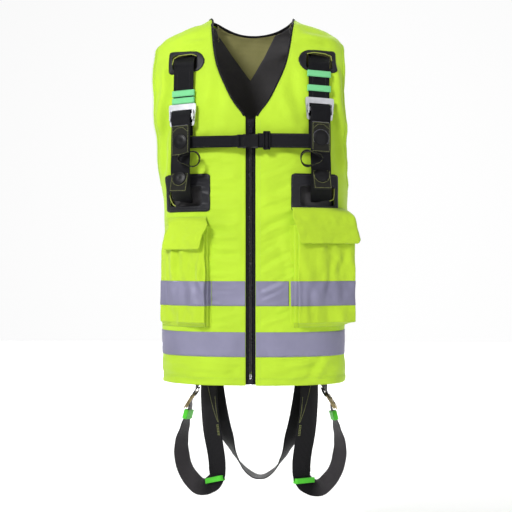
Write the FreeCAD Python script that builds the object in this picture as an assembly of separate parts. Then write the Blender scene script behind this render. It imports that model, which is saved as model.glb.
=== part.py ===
"""Safety harness vest: a high-visibility waistcoat worn over a fall-arrest harness, in worn shape.

Millimetres, +Z up, the wearer faces -Y, and +X is the wearer's left. The origin is the centre of
the hem opening, where the wearer's torso goes in. Each sub-part is written to parts/NODE.step.
Soft pieces are plain closed solids of the right size and place.
"""

import FreeCAD
import Part
import math
import os

V = FreeCAD.Vector
PARTS = {}

# ---------------------------------------------------------------- driving dimensions
FABRIC = 2.4            # shell cloth with its seam allowances
LINING_DEPTH = 14.5     # the lining lies this far inside the shell, with the webbing between
LINING = 1.0
TAPE_GAP = 0.4          # air between a sewn-on piece and the cloth under it
TAPE = 0.7
ROUNDNESS = 2.4         # exponent of the torso's superellipse section

# The torso form by height: z, half width, front depth, back depth, sideways lean of the flanks
FORM = (
    (-30, 192, 120, 112, 0),
    (0, 192, 120, 112, 0),
    (200, 192, 120, 110, 1),
    (350, 193, 120, 109, 5),
    (410, 196, 120, 110, 2),
    (470, 207, 120, 112, -3),
    (545, 217, 120, 113, -6),
    (600, 220, 114, 112, -8),
    (650, 216, 104, 106, -8),
    (690, 203, 90, 95, -7),
    (713, 187, 80, 85, -5),
    (729, 168, 72, 77, -4),
    (741, 141, 64, 70, -4),
    (750, 108, 57, 63, -4),
    (766, 82, 50, 56, -4),
)
SHELL_TOP = 766.0

# Openings of the shell
ZIP_HALF_GAP = 10.0
V_NECK = ((10, 545), (14, 552), (26, 566), (38, 585), (49, 608), (61.5, 636),
          (70, 664), (77, 707), (81, 751))
BACK_NECK_LOW = 742.0
NECK_HALF = 82.0
ARMHOLE_Z, ARMHOLE_HALF_HEIGHT, ARMHOLE_HALF_DEPTH = 558.0, 148.0, 62.0
BINDING = 5.0           # width of the bound edge

# Reflective tape
TAPE_HEIGHT = 50.0
LOWER_TAPE_Z, UPPER_TAPE_Z = 58.0, 161.0

# Harness webbing and the line that the front straps hang along
WEB, WEB_THICK = 45.0, 2.0
STRAP_X = 138.0
STRAP_LEAN = 6.5        # degrees from upright, leaning back at the top
STRAP_TURN = 20.0       # degrees, the outer edge of the webbing turned back round the chest
STRAP_REF = 500.0               # a height on the line, and its y there on each side
STRAP_REF_Y = {1: -109.5, -1: -113.5}

# Shoulder hardware by side: keeper heights, top of the adjuster frame, disc heights of the two tabs
KEEPER_Z = {1: (632, 602), -1: (593, 577.6)}
FRAME_TOP = {1: 582.0, -1: 570.0}
UPPER_DISC_Z = {1: 498.0, -1: 492.0}
LOWER_DISC_Z = {1: 424.0, -1: 419.0}

# Aperture patches: x and z extents of the patch and of its hole
CHEST_PATCH = dict(x=(82, 176), z=(353, 428), hole_x=(101, 168), hole_z=(364, 403), corner=5)
SHOULDER_PATCH = dict(x=(96, 172), z=(636, 684), hole_x=(112, 164), hole_z=(645, 676), corner=13)
BACK_PATCH = dict(x=(-62, 62), z=(566, 662), hole_x=(-37, 37), hole_z=(586, 638), corner=14)

# Chest strap and its side-release buckle
CHEST_Z = 492.0
CHEST_BOW = -135.0      # y of the strap at the middle
CHEST_WEB = {1: 29.0, -1: 24.0}
BUCKLE_HALF_HEIGHT, BUCKLE_THICK = 14.5, 10.0
FEMALE_X = (-14.0, 16.0)

# Pockets: plan corners on the wearer's left, x and depth in front of the axis
POCKET_PLAN = {
    1: ((97, 124.5), (213, 66.0), (192, 16)),
    -1: ((94, 130.5), (195, 66.5), (190, 16)),
}
POCKET_X, POCKET_BOTTOM, POCKET_TOP = 79.0, 132.0, 326.0
CLOTH = 2.0             # a pocket's or flap's cloth
FLAP_TOP = {1: 346.0, -1: 338.0}
FLAP_BOTTOM = {1: 287.0, -1: 275.0}
FLAP_OUT = (2.0, 4.0)   # the flap's distance in front of the pocket's face
YOKE = 1.5              # cloth that carries the flap from the vest to its fold

# Dorsal plate and its D-ring
DORSAL_Z = 612.0
RING_BAR, RING_WIRE = 3.2, 4.0      # radii of its straight bar and of its bow
RING_HALF, RING_REACH = 22.0, 30.0  # half the bow's span, and how far its legs run from the bar
RING_REST = 22.0                    # degrees that it hangs away from the plate

# Leg straps, which hang a little towards the wearer's left
LEG_SHIFT = 14.0
SIDES = {1: "left", -1: "right"}


# ---------------------------------------------------------------- curves and surfaces
def column(index):
    """A monotone cubic through one column of FORM, as a function of z."""
    zs = [row[0] for row in FORM]
    vs = [row[index] for row in FORM]
    step = [b - a for a, b in zip(zs, zs[1:])]
    slope = [(b - a) / h for a, b, h in zip(vs, vs[1:], step)]
    tangent = [slope[0]]
    for i in range(1, len(slope)):
        same_way = slope[i - 1] * slope[i] > 0
        tangent.append(2 / (1 / slope[i - 1] + 1 / slope[i]) if same_way else 0.0)
    tangent.append(slope[-1])

    def at(z):
        i = max(k for k in range(len(step)) if k == 0 or zs[k] <= z)
        h = step[i]
        t = (z - zs[i]) / h
        return (vs[i] * (1 + 2 * t) * (1 - t) ** 2 + tangent[i] * h * t * (1 - t) ** 2
                + vs[i + 1] * t * t * (3 - 2 * t) + tangent[i + 1] * h * t * t * (t - 1))

    return at


half_width, front_depth, back_depth, lean = (column(k) for k in (1, 2, 3, 4))


def form_point(angle, z):
    """A point of the torso form: angle in degrees from the front centre towards the wearer's left."""
    a = math.radians(angle)
    s, c = math.sin(a), math.cos(a)
    depth = front_depth(z) if c > 0 else back_depth(z)
    radius = (abs(s / half_width(z)) ** ROUNDNESS + abs(c / depth) ** ROUNDNESS) ** (-1 / ROUNDNESS)
    return V(radius * s + lean(z) * s * s, -radius * c, z)


def skin_point(angle, z, off=0.0):
    """The form's point moved out along its normal."""
    around = form_point(angle + 0.2, z) - form_point(angle - 0.2, z)
    up = form_point(angle, z + 0.3) - form_point(angle, z - 0.3)
    normal = around.cross(up)
    normal.normalize()
    return form_point(angle, z) + normal * off


def front_angle(x, z):
    """The angle whose form point has this x, on the front."""
    low, high = (0.0, 90.0) if x > 0 else (-90.0, 0.0)
    for _ in range(40):
        middle = (low + high) / 2
        if form_point(middle, z).x < x:
            low = middle
        else:
            high = middle
    return (low + high) / 2


def knots(spans):
    """Knots and multiplicities of a clamped cubic with this many spans."""
    return list(range(spans + 1)), [4] + [1] * (spans - 1) + [4]


def pole_places(spans):
    """Where a clamped cubic's poles act, and the weight of the bend correction at each."""
    inner = [(float(i), 1 / 6) for i in range(1, spans)]
    return [(0.0, 0.0), (1 / 3, 1 / 18)] + inner + [(spans - 1 / 3, 1 / 18), (float(spans), 0.0)]


def bend(f, at, step=0.25):
    """The second derivative of a point function."""
    return (f(at - step) + f(at + step) - f(at) * 2) * (1 / step ** 2)


def smooth_face(f, spans_u, spans_v):
    """A cubic surface that follows f(u, v) over whole numbers of spans."""
    poles = []
    for u, bend_u in pole_places(spans_u):
        row = []
        for v, bend_v in pole_places(spans_v):
            point = f(u, v)
            if bend_u:
                point = point - bend(lambda a, v=v: f(a, v), u) * bend_u
            if bend_v:
                point = point - bend(lambda a, u=u: f(u, a), v) * bend_v
            row.append(point)
        poles.append(row)
    (ku, mu), (kv, mv) = knots(spans_u), knots(spans_v)
    made = Part.BSplineSurface()
    made.buildFromPolesMultsKnots(poles, mu, mv, ku, kv, False, False, 3, 3)
    return made


def strip_face(line_a, line_b):
    """The face ruled between two cubics that have the same number of poles."""
    spans = len(line_a) - 3
    kv, mv = knots(spans)
    made = Part.BSplineSurface()
    made.buildFromPolesMultsKnots([line_a, line_b], [2, 2], mv, [0, 1], kv, False, False, 1, 3)
    return made.toShape()


def closed(faces):
    """The solid inside faces that meet edge to edge."""
    shell = Part.makeShell(faces)
    shell.sewShape()
    solid = Part.Solid(Part.Shell(shell.Faces))
    if solid.Volume < 0:
        solid.reverse()
    return solid


def cloth(angles, z_range, outer, inner):
    """A piece of cloth that follows the form: its outer and inner faces lie at those distances."""
    low, high = angles
    bottom, top = z_range
    spans_u = max(4, round((high - low) / 6))
    tall = top - bottom > 400
    spans_v = 26 if tall else max(2, round((top - bottom) / 14))

    def height(v):
        share = v / spans_v
        return bottom + (top - bottom) * (1 - abs(1 - share) ** 1.6 if tall and share < 1 else share)

    faces = []
    sides = []
    for off in (outer, inner):
        made = smooth_face(
            lambda u, v, off=off: skin_point(low + (high - low) * u / spans_u, height(v), off),
            spans_u, spans_v)
        poles = made.getPoles()
        faces.append(made.toShape())
        sides.append([poles[0], poles[-1], [row[0] for row in poles], [row[-1] for row in poles]])
    faces += [strip_face(a, b) for a, b in zip(*sides)]
    return closed(faces)


def ribbon(stations, width, thick, spans=24):
    """Webbing along a smooth line: stations are (point, direction across the webbing)."""
    line = Part.BSplineCurve()
    line.interpolate([V(*p) for p, _ in stations])
    marks = [line.parameter(V(*p)) for p, _ in stations]

    def corner(a, b, place):
        t = marks[0] + (marks[-1] - marks[0]) * min(max(place / spans, 0.0), 1.0)
        k = max(j for j in range(len(marks) - 1) if j == 0 or marks[j] <= t)
        share = (t - marks[k]) / (marks[k + 1] - marks[k])
        share = share * share * (3 - 2 * share)
        tangent = V(*line.tangent(t)[0])
        across = V(*stations[k][1]).normalize() * (1 - share) + V(*stations[k + 1][1]).normalize() * share
        across = across - tangent * across.dot(tangent)
        across.normalize()
        face = tangent.cross(across)
        return line.value(t) + across * (a * width / 2) + face * (b * thick / 2)

    corners = []
    for a, b in ((-1, -1), (1, -1), (1, 1), (-1, 1)):
        poles = []
        for place, weight in pole_places(spans):
            point = corner(a, b, place)
            if weight:
                point = point - bend(lambda at, a=a, b=b: corner(a, b, at), place) * weight
            poles.append(point)
        corners.append(poles)
    faces = [strip_face(corners[i], corners[(i + 1) % 4]) for i in range(4)]
    for end in (0, -1):
        ring = [c[end] for c in corners]
        faces.append(strip_cap(ring))
    return closed(faces)


def strip_cap(ring):
    """The flat end of a ribbon."""
    made = Part.BSplineSurface()
    made.buildFromPolesMultsKnots([[ring[0], ring[1]], [ring[3], ring[2]]], [2, 2], [2, 2], [0, 1], [0, 1],
                                  False, False, 1, 1)
    return made.toShape()


def rounded_sheet(x_range, z_range, corner):
    """A rounded rectangle in the XZ plane, as a face at y = 0."""
    (x0, x1), (z0, z1) = sorted(x_range), z_range
    box = Part.makeBox(x1 - x0, 1, z1 - z0, V(x0, 0, z0))
    upright = [e for e in box.Edges if abs(e.tangentAt(e.FirstParameter).y) > 0.9]
    rounded = box.makeFillet(corner, upright)
    return next(f for f in rounded.Faces if abs(f.CenterOfMass.y) < 1e-6 and abs(f.normalAt(0, 0).y) > 0.9)


def prism(face, y_from, y_to):
    """A face at y = 0 drawn out between two depths."""
    moved = face.copy()
    moved.translate(V(0, y_from, 0))
    return moved.extrude(V(0, y_to - y_from, 0))


def box(x, y, z):
    """A box between the given extents."""
    return Part.makeBox(x[1] - x[0], y[1] - y[0], z[1] - z[0], V(x[0], y[0], z[0]))


def rounded_box(x, y, z, radius, axis):
    """A box with the four edges along one axis rounded."""
    plain = box(x, y, z)
    along = [e for e in plain.Edges if abs(e.tangentAt(e.FirstParameter).dot(axis)) > 0.9]
    return plain.makeFillet(radius, along)


def keep(name, *shapes):
    """Records a node of one or more separate solids."""
    solids = [s for shape in shapes for s in shape.Solids]
    PARTS[name] = solids


# ---------------------------------------------------------------- shell openings
def neck_prisms(grow):
    """Cutters for the front V and the back neckline, grown by the width of the bound edge."""
    right_side = [V(x + grow * 0.95, 0, z - grow * 0.3) for x, z in V_NECK]
    right_side[0] = V(V_NECK[0][0] + (grow and 0.01), 0, V_NECK[0][1] - grow)
    flank = Part.BSplineCurve()
    flank.interpolate(right_side)
    top = 800
    pieces = []
    for side in (1, -1):
        edge = flank.toShape()
        end = right_side[-1]
        points = [end, V(end.x + 1, 0, top), V(0, 0, top), V(0, 0, right_side[0].z), right_side[0]]
        face = Part.Face(Part.Wire([edge] + [Part.makeLine(a, b) for a, b in zip(points, points[1:])]))
        if side < 0:
            face = face.mirror(V(0, 0, 0), V(1, 0, 0))
        pieces.append(prism(face, -200, 0))
    width, low = NECK_HALF + grow, BACK_NECK_LOW - grow
    arc = Part.Arc(V(-width, 0, 764), V(0, 0, low), V(width, 0, 764)).toShape()
    points = [V(width, 0, 764), V(width, 0, top), V(-width, 0, top), V(-width, 0, 764)]
    face = Part.Face(Part.Wire([arc] + [Part.makeLine(a, b) for a, b in zip(points, points[1:])]))
    pieces.append(prism(face, 0, 200))
    return pieces


def armhole_prism(side, grow):
    """The cutter of one armhole, an oval drawn out sideways."""
    oval = Part.Ellipse(V(0, 0, 0), ARMHOLE_HALF_HEIGHT + grow, ARMHOLE_HALF_DEPTH + grow)
    wire = Part.Wire(oval.toShape())
    wire.rotate(V(0, 0, 0), V(0, 1, 0), -90)
    wire.translate(V(side * 140, 0, ARMHOLE_Z))
    return Part.Face(wire).extrude(V(side * 140, 0, 0))


def window(patch, side, part="hole"):
    """The outline of a patch or of its hole, as a face at y = 0."""
    names = ("hole_x", "hole_z") if part == "hole" else ("x", "z")
    x = sorted(side * v for v in patch[names[0]])
    corner = 4 if part == "hole" else patch["corner"]
    return rounded_sheet(x, patch[names[1]], corner)


def make_shell():
    """Front and back panels with neckline, armholes and the holes that the harness comes out of."""
    neck = neck_prisms(BINDING)
    bound_neck = neck_prisms(0)
    for side, name in SIDES.items():
        angles = sorted((side * 3.0, side * 89.7))
        panel = cloth(angles, (0, SHELL_TOP), 0, -FABRIC)
        centre = box((-ZIP_HALF_GAP, ZIP_HALF_GAP), (-200, 0), (-10, 560))
        cutters = neck + [armhole_prism(side, BINDING), centre]
        for patch in (CHEST_PATCH, SHOULDER_PATCH):
            cutters.append(prism(window(patch, side), -200, 0))
        keep(f"front_panel_{name}", panel.cut(cutters))

        sleeve = cloth((side * 90 - 48, side * 90 + 48), (392, 724), 0.5, -FABRIC)
        edge = sleeve.common(armhole_prism(side, BINDING - 0.4)).cut(armhole_prism(side, 0))
        keep(f"armhole_binding_{name}", edge)

    back = cloth((90.3, 269.7), (0, SHELL_TOP), 0, -FABRIC)
    holes = [armhole_prism(side, BINDING) for side in SIDES]
    holes.append(prism(window(BACK_PATCH, 1), 0, 200))
    keep("back_panel", back.cut(neck + holes))

    trims = neck_prisms(BINDING - 0.4)
    front_collar = [cloth(sorted((s * 3.0, s * 89.9)), (530, SHELL_TOP), 0.5, -FABRIC) for s in SIDES]
    back_collar = cloth((90.1, 269.9), (700, SHELL_TOP), 0.5, -FABRIC)
    pieces = []
    for side, collar in zip(SIDES, front_collar):
        strip = collar.common(trims[0 if side > 0 else 1])
        pieces.append(strip.cut(bound_neck + [box((-ZIP_HALF_GAP, ZIP_HALF_GAP), (-200, 0), (0, 800))]))
    pieces.append(back_collar.common(trims[2]).cut(bound_neck))
    keep("neck_binding", *pieces)


def make_lining():
    """Mesh lining inside the shell."""
    neck = neck_prisms(BINDING + 3)
    depth = -LINING_DEPTH
    arms = [armhole_prism(side, BINDING + 6) for side in SIDES]
    back = cloth((93, 267), (8, 752), depth, depth - LINING)
    keep("lining_back", back.cut(neck + arms))
    fronts = []
    for side in SIDES:
        piece = cloth(sorted((side * 8, side * 87)), (8, 752), depth, depth - LINING)
        centre = box((-20, 20), (-200, 0), (-10, 560))
        fronts.append(piece.cut(neck + arms + [centre]))
    keep("lining_front", *fronts)


def make_patches():
    """Black reinforcements sewn round each hole."""
    low, high = TAPE_GAP, TAPE_GAP + 1.2
    for kind, patch in (("chest", CHEST_PATCH), ("shoulder", SHOULDER_PATCH)):
        pair = []
        for side in SIDES:
            z = patch["z"]
            sheet = cloth(sorted((side * 18, side * 80)), (z[0] - 6, z[1] + 6), high, low)
            outline = prism(window(patch, side, "outline"), -200, 0)
            pair.append(sheet.common(outline).cut(prism(window(patch, side), -200, 0)))
        keep(f"{kind}_patches", *pair)
    z = BACK_PATCH["z"]
    sheet = cloth((135, 225), (z[0] - 6, z[1] + 6), high, low)
    outline = prism(window(BACK_PATCH, 1, "outline"), 0, 200)
    keep("dorsal_patch", sheet.common(outline).cut(prism(window(BACK_PATCH, 1), 0, 200)))


def make_reflective_tape():
    """Two bands of tape round the vest. The upper front one goes on over the pockets."""
    low, high = TAPE_GAP, TAPE_GAP + TAPE
    centre = box((-ZIP_HALF_GAP - 1, ZIP_HALF_GAP + 1), (-200, 0), (-10, 560))
    lower = (LOWER_TAPE_Z, LOWER_TAPE_Z + TAPE_HEIGHT)
    upper = (UPPER_TAPE_Z, UPPER_TAPE_Z + TAPE_HEIGHT)
    full = []
    short = []
    for side in SIDES:
        angles = sorted((side * 3, side * 89))
        full.append(cloth(angles, lower, high, low).cut(centre))
        beyond = box(sorted((side * (POCKET_X - 2), side * 300)), (-200, 0), (0, 400))
        short.append(cloth(angles, upper, high, low).cut([centre, beyond]))
    keep("lower_tape_front", *full)
    keep("upper_tape_front", *short)
    keep("lower_tape_back", cloth((91, 269), lower, high, low))
    keep("upper_tape_back", cloth((91, 269), upper, high, low))


# ---------------------------------------------------------------- zip
ZIP_FACE = -front_depth(300) + FABRIC + 0.4     # y of the front of the zip's tape
ZIP_TOP = 541.0
TEETH_HALF, TEETH_GAP, TEETH_FRONT = 3.2, 0.9, 2.3
SLIDER_TOP = 538.0
PULL_LENGTH = 21.0


def make_zip():
    """Tape and teeth of both sides, the stops, the slider and its pull."""
    for side, name in SIDES.items():
        tape_x = sorted((side * 2.0, side * 17.0))
        keep(f"zip_tape_{name}", box(tape_x, (ZIP_FACE, ZIP_FACE + 0.9), (2, ZIP_TOP)))
    teeth = []
    for side in SIDES:
        teeth_x = sorted((side * TEETH_GAP, side * TEETH_HALF))
        teeth.append(box(teeth_x, (ZIP_FACE - TEETH_FRONT, ZIP_FACE - 0.2), (14, ZIP_TOP - 4)))
    retainer = rounded_box((-5.5, 5.5), (ZIP_FACE - 3.2, ZIP_FACE - 0.3), (3, 13.5), 1.2, V(0, 1, 0))
    keep("zip_teeth", *teeth)
    keep("zip_retainer", retainer)

    front, back = ZIP_FACE - TEETH_FRONT - 0.5, ZIP_FACE + 1.4
    z0, z1 = SLIDER_TOP - 17, SLIDER_TOP
    plate = rounded_box((-6.5, 6.5), (front - 1.6, front), (z0, z1), 3, V(0, 1, 0))
    rear = rounded_box((-6.5, 6.5), (back, back + 1.2), (z0, z1), 3, V(0, 1, 0))
    post = box((-0.5, 0.5), (front - 0.2, back + 0.2), (z0 + 5, z1 - 2))
    bail = box((-1.6, 1.6), (front - 4.8, front - 1.4), (z0 + 4, z1 - 3))
    pivot_z = z1 - 6.5
    pivot_y = front - 3.1
    hole = Part.makeCylinder(0.95, 8, V(-4, pivot_y, pivot_z), V(1, 0, 0))
    slot = box((-4, 4), (pivot_y - 0.95, pivot_y + 0.95), (z0 + 6.5, pivot_z))
    body = plate.fuse([rear, post, bail]).cut([hole, slot]).removeSplitter()
    keep("zip_slider", body)

    pin = Part.makeCylinder(0.7, 7.0, V(-3.5, pivot_y, pivot_z), V(1, 0, 0))
    low = pivot_z - PULL_LENGTH
    arms = [box(x, (pivot_y - 0.7, pivot_y + 0.7), (low + 8, pivot_z)) for x in ((-3.5, -2.2), (2.2, 3.5))]
    tab = rounded_box((-3.6, 3.6), (pivot_y - 0.9, pivot_y + 0.9), (low, low + 10), 2.5, V(0, 1, 0))
    eye = Part.makeCylinder(1.5, 6, V(0, pivot_y - 3, low + 4), V(0, 1, 0))
    keep("zip_pull", pin.fuse(arms + [tab]).cut(eye).removeSplitter())


# ---------------------------------------------------------------- pockets
def pocket_wire(side, inset, level):
    """Plan outline of a pocket at z = 0: its back follows the vest at a level, its front is flat."""
    back = []
    far_x = POCKET_PLAN[side][2][0]
    start = front_angle(side * (POCKET_X + inset), level)
    end = front_angle(side * (far_x - 4 - inset), level)
    for i in range(9):
        p = skin_point(start + (end - start) * i / 8, level, TAPE_GAP + inset)
        back.append(V(p.x, p.y, 0))
    curve = Part.BSplineCurve()
    curve.interpolate(back)
    (ax, ay), (bx, by), _ = POCKET_PLAN[side]
    inner, outer = V(side * ax, -ay, 0), V(side * bx, -by, 0)
    along = (outer - inner).normalize()
    out = V(along.y, -along.x, 0) * side
    inner, outer = inner - out * inset + along * inset, outer - out * inset - along * inset
    points = [back[-1], outer, inner, back[0]]
    return Part.Wire([curve.toShape()] + [Part.makeLine(a, b) for a, b in zip(points, points[1:])])


def pocket_axes(side):
    """The inner end of a pocket's face, the direction along it and the direction out of it."""
    (ax, ay), (bx, by), _ = POCKET_PLAN[side]
    inner = V(side * ax, -ay, 0)
    along = V(side * (bx - ax), ay - by, 0).normalize()
    out = V(along.y, -along.x, 0) * side
    return inner, along, out, math.hypot(bx - ax, ay - by)


def on_pocket(side, along_range, out_range, z_range, corner=0):
    """A box set on a pocket's face: extents along it, out of it and in height."""
    inner, along, out, _ = pocket_axes(side)
    (a0, a1), (o0, o1) = along_range, out_range
    shape = Part.makeBox(a1 - a0, o1 - o0, z_range[1] - z_range[0])
    if corner:
        low = [e for e in shape.Edges if abs(e.tangentAt(0).y) > 0.9 and e.CenterOfMass.z < 1]
        shape = shape.makeFillet(corner, low)
    turn = math.degrees(math.atan2(along.y, along.x))
    if side < 0:
        shape = shape.mirror(V(0, 0, 0), V(0, 1, 0))
        shape.translate(V(0, o1 - o0, 0))
        shape.translate(V(a0, o0, z_range[0]))
    else:
        shape.translate(V(a0, -o1, z_range[0]))
    shape.rotate(V(0, 0, 0), V(0, 0, 1), turn)
    shape.translate(V(inner.x, inner.y, 0))
    return shape


def make_pockets():
    """Bellows pockets open at the top, tape across each, and a flap that hangs from a sewn yoke."""
    tapes = []
    yokes = []
    for side, name in SIDES.items():
        widest = POCKET_TOP if side > 0 else POCKET_BOTTOM
        outer = Part.Face(pocket_wire(side, 0, widest))
        inner = Part.Face(pocket_wire(side, CLOTH, widest))
        outer.translate(V(0, 0, POCKET_BOTTOM))
        inner.translate(V(0, 0, POCKET_BOTTOM + CLOTH))
        bag = outer.extrude(V(0, 0, POCKET_TOP - POCKET_BOTTOM))
        keep(f"pocket_{name}", bag.cut(inner.extrude(V(0, 0, POCKET_TOP))))

        length = pocket_axes(side)[3]
        band = (UPPER_TAPE_Z, UPPER_TAPE_Z + TAPE_HEIGHT)
        tapes.append(on_pocket(side, (1, length - 1), (TAPE_GAP, TAPE_GAP + TAPE), band))
        top = FLAP_TOP[side]
        span = (-6, length + 3)
        keep(f"pocket_flap_{name}", on_pocket(side, span, FLAP_OUT, (FLAP_BOTTOM[side], top), 9))
        yoke = Part.Face(pocket_wire(side, 0, top))
        yoke.translate(V(0, 0, top + 0.5))
        yokes.append(yoke.extrude(V(0, 0, YOKE)))
    keep("pocket_tapes", *tapes)
    keep("flap_yokes", *yokes)


# ---------------------------------------------------------------- front straps
def strap_y(side, z):
    """The y of the front strap line at a height."""
    return STRAP_REF_Y[side] + (z - STRAP_REF) * math.tan(math.radians(STRAP_LEAN))


def on_strap(shape, side, z, x=STRAP_X):
    """Moves a shape from strap coordinates: X across the webbing, -Y outwards and Z up along it."""
    a, b = math.radians(STRAP_LEAN), math.radians(STRAP_TURN)
    up = V(0, math.sin(a), math.cos(a))
    across = V(math.cos(b), side * math.sin(b), 0)
    across = (across - up * across.dot(up)).normalize()
    inward = up.cross(across)
    matrix = FreeCAD.Matrix(across.x, inward.x, up.x, side * x,
                            across.y, inward.y, up.y, strap_y(side, z),
                            across.z, inward.z, up.z, z,
                            0, 0, 0, 1)
    return moved_by(shape, matrix)


def moved_by(shape, matrix):
    """A copy of a shape at a rigid placement."""
    made = shape.copy()
    made.Placement = FreeCAD.Placement(matrix).multiply(made.Placement)
    return made


def strap_across(side):
    """The direction across the webbing of a front strap."""
    b = math.radians(STRAP_TURN)
    return (math.cos(b), side * math.sin(b), 0)


def strap_station(side, z, out=0.0, x=STRAP_X):
    """A point in front of the strap line, with the direction across the webbing."""
    b = math.radians(STRAP_TURN)
    return (side * (x + out * math.sin(b)), strap_y(side, z) - out * math.cos(b), z), strap_across(side)


FRAME_OUT = (1.6, 4.4)          # the adjuster's plate, this far in front of the strap line
BAR_OUT = (4.8, 7.6)            # the knurled bar
FRONT_WEB_OUT = 9.4             # middle of the front strap's webbing
TAB_OUT = (10.8, 12.2)


STRAP_ENTRY = ((-92.5, 652), (-83, 663), (-69, 673))     # y and z where the strap goes into the shoulder
STRAP_EXIT = ((-121.5, 440), (-116.0, 415), (-105.0, 394), (-92.0, 381), (-84.0, 374))


def make_shoulder_straps():
    """The upper webbing, its elastic keepers, and the adjuster's frame and knurled bar."""
    for side, name in SIDES.items():
        low = [strap_station(side, z) for z in (505, 545, 585, 620, 638)]
        shift = STRAP_REF_Y[side] - STRAP_REF_Y[1]
        entry = [((side * STRAP_X, y + shift, z), strap_across(side)) for y, z in STRAP_ENTRY]
        keep(f"shoulder_strap_{name}", ribbon(low + entry, WEB, WEB_THICK))

        for z, label in zip(KEEPER_Z[side], ("upper", "lower")):
            sleeve = rounded_box((-24.6, 24.6), (-2.8, 2.8), (-6.4, 6.4), 1.2, V(0, 0, 1))
            bore = box((-23.2, 23.2), (-1.5, 1.5), (-10, 10))
            keep(f"{label}_keeper_{name}", on_strap(sleeve.cut(bore), side, z))

        top = FRAME_TOP[side]
        corners = ((-27, -46), (27, -46), (30.5, -10), (30.5, 0), (-30.5, 0), (-30.5, -10))
        outline = [V(u, 0, v) for u, v in corners]
        thick = FRAME_OUT[1] - FRAME_OUT[0]
        plate = Part.Face(Part.makePolygon(outline + outline[:1])).extrude(V(0, thick, 0))
        upright = [e for e in plate.Edges if abs(e.tangentAt(0).y) > 0.9]
        plate = plate.makeFillet(4, upright)
        opening = rounded_box((-23.8, 23.8), (-5, 5), (-39, -12), 2, V(0, 1, 0))
        frame = plate.cut(opening)
        frame.translate(V(0, -FRAME_OUT[1], 0))
        for x in (-25.6, 25.6):
            cheek = box((x - 1.2, x + 1.2), (-BAR_OUT[1] - 2.2, -FRAME_OUT[1] + 0.4), (-34, -14))
            slot = box((x - 2, x + 2), (-BAR_OUT[1] - 0.2, -BAR_OUT[0] + 0.2), (-32, -17))
            frame = frame.fuse(cheek).cut(slot)
        keep(f"adjuster_frame_{name}", on_strap(frame.removeSplitter(), side, top))

        bar = rounded_box((-28.0, 28.0), (-BAR_OUT[1], -BAR_OUT[0]), (-29, -20.3), 1.2, V(1, 0, 0))
        keep(f"adjuster_bar_{name}", on_strap(bar, side, top))


def make_front_straps():
    """The lower webbing of each front strap, which goes back into the vest, with its tabs."""
    for side, name in SIDES.items():
        top = FRAME_TOP[side]
        heights = (top - 13, top - 40, 510, 480, 462)
        stations = [strap_station(side, z, FRONT_WEB_OUT) for z in heights]
        shift = STRAP_REF_Y[side] - STRAP_REF_Y[1]
        (_, high), (_, deep) = STRAP_EXIT[0], STRAP_EXIT[-1]
        for y, z in STRAP_EXIT:
            share = (z - deep) / (high - deep)
            stations.append(((side * 142.0, y + shift * share, z), strap_across(side)))
        keep(f"front_strap_{name}", ribbon(stations, WEB - 2, WEB_THICK))

        tab = rounded_box((-20, 20), (-TAB_OUT[1], -TAB_OUT[0]), (-30, 34), 3, V(0, 1, 0))
        disc = Part.makeCylinder(15.5, 2.6, V(0, -TAB_OUT[1] - 2.4, 0), V(0, 1, 0))
        upper = on_strap(tab.fuse(disc), side, UPPER_DISC_Z[side])

        low_tab = rounded_box((-19.5, 19.5), (-1.4, 0), (-30, 20), 4, V(0, 1, 0))
        low_disc = Part.makeCylinder(14.2, 2.6, V(0, -3.8, 0), V(0, 1, 0))
        lower = low_tab.fuse(low_disc)
        lower.rotate(V(0, 0, 0), V(1, 0, 0), 17)
        z = LOWER_DISC_Z[side]
        lower.rotate(V(0, 0, 0), V(0, 0, 1), side * STRAP_TURN)
        lower.translate(V(side * 143.0, LOWER_TAB_Y + shift - (z - 419) * 0.3, z))
        keep(f"strap_tabs_{name}", upper, lower)

        loop = attachment_loop(side)
        keep(f"attachment_loop_{name}", loop)


LOWER_TAB_Y = -121.0
LOOP_Z, LOOP_HEIGHT = 457.0, 22.0
LOOP_PIVOT = (140.0, -136.5)
LOOP_TURN = 8.0


def attachment_loop(side):
    """A sewn webbing loop that points towards the breastbone and swings forwards."""
    outer = rounded_box((-38, 6), (-6.2, 6.2), (-LOOP_HEIGHT / 2, LOOP_HEIGHT / 2), 6.0, V(0, 0, 1))
    inner = rounded_box((-35.6, -1.5), (-3.8, 3.8), (-20, 20), 3.7, V(0, 0, 1))
    ring = outer.cut(inner)
    if side < 0:
        ring = ring.mirror(V(0, 0, 0), V(1, 0, 0))
    ring.rotate(V(0, 0, 0), V(0, 0, 1), side * LOOP_TURN)
    ring.translate(V(side * LOOP_PIVOT[0], LOOP_PIVOT[1] + STRAP_REF_Y[side] - STRAP_REF_Y[1], LOOP_Z))
    return ring


# ---------------------------------------------------------------- chest strap
def chest_y(x):
    """The y of the chest strap, bowed out over the chest."""
    return CHEST_BOW + 13.0 * (abs(x) / 116.0) ** 2


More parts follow.
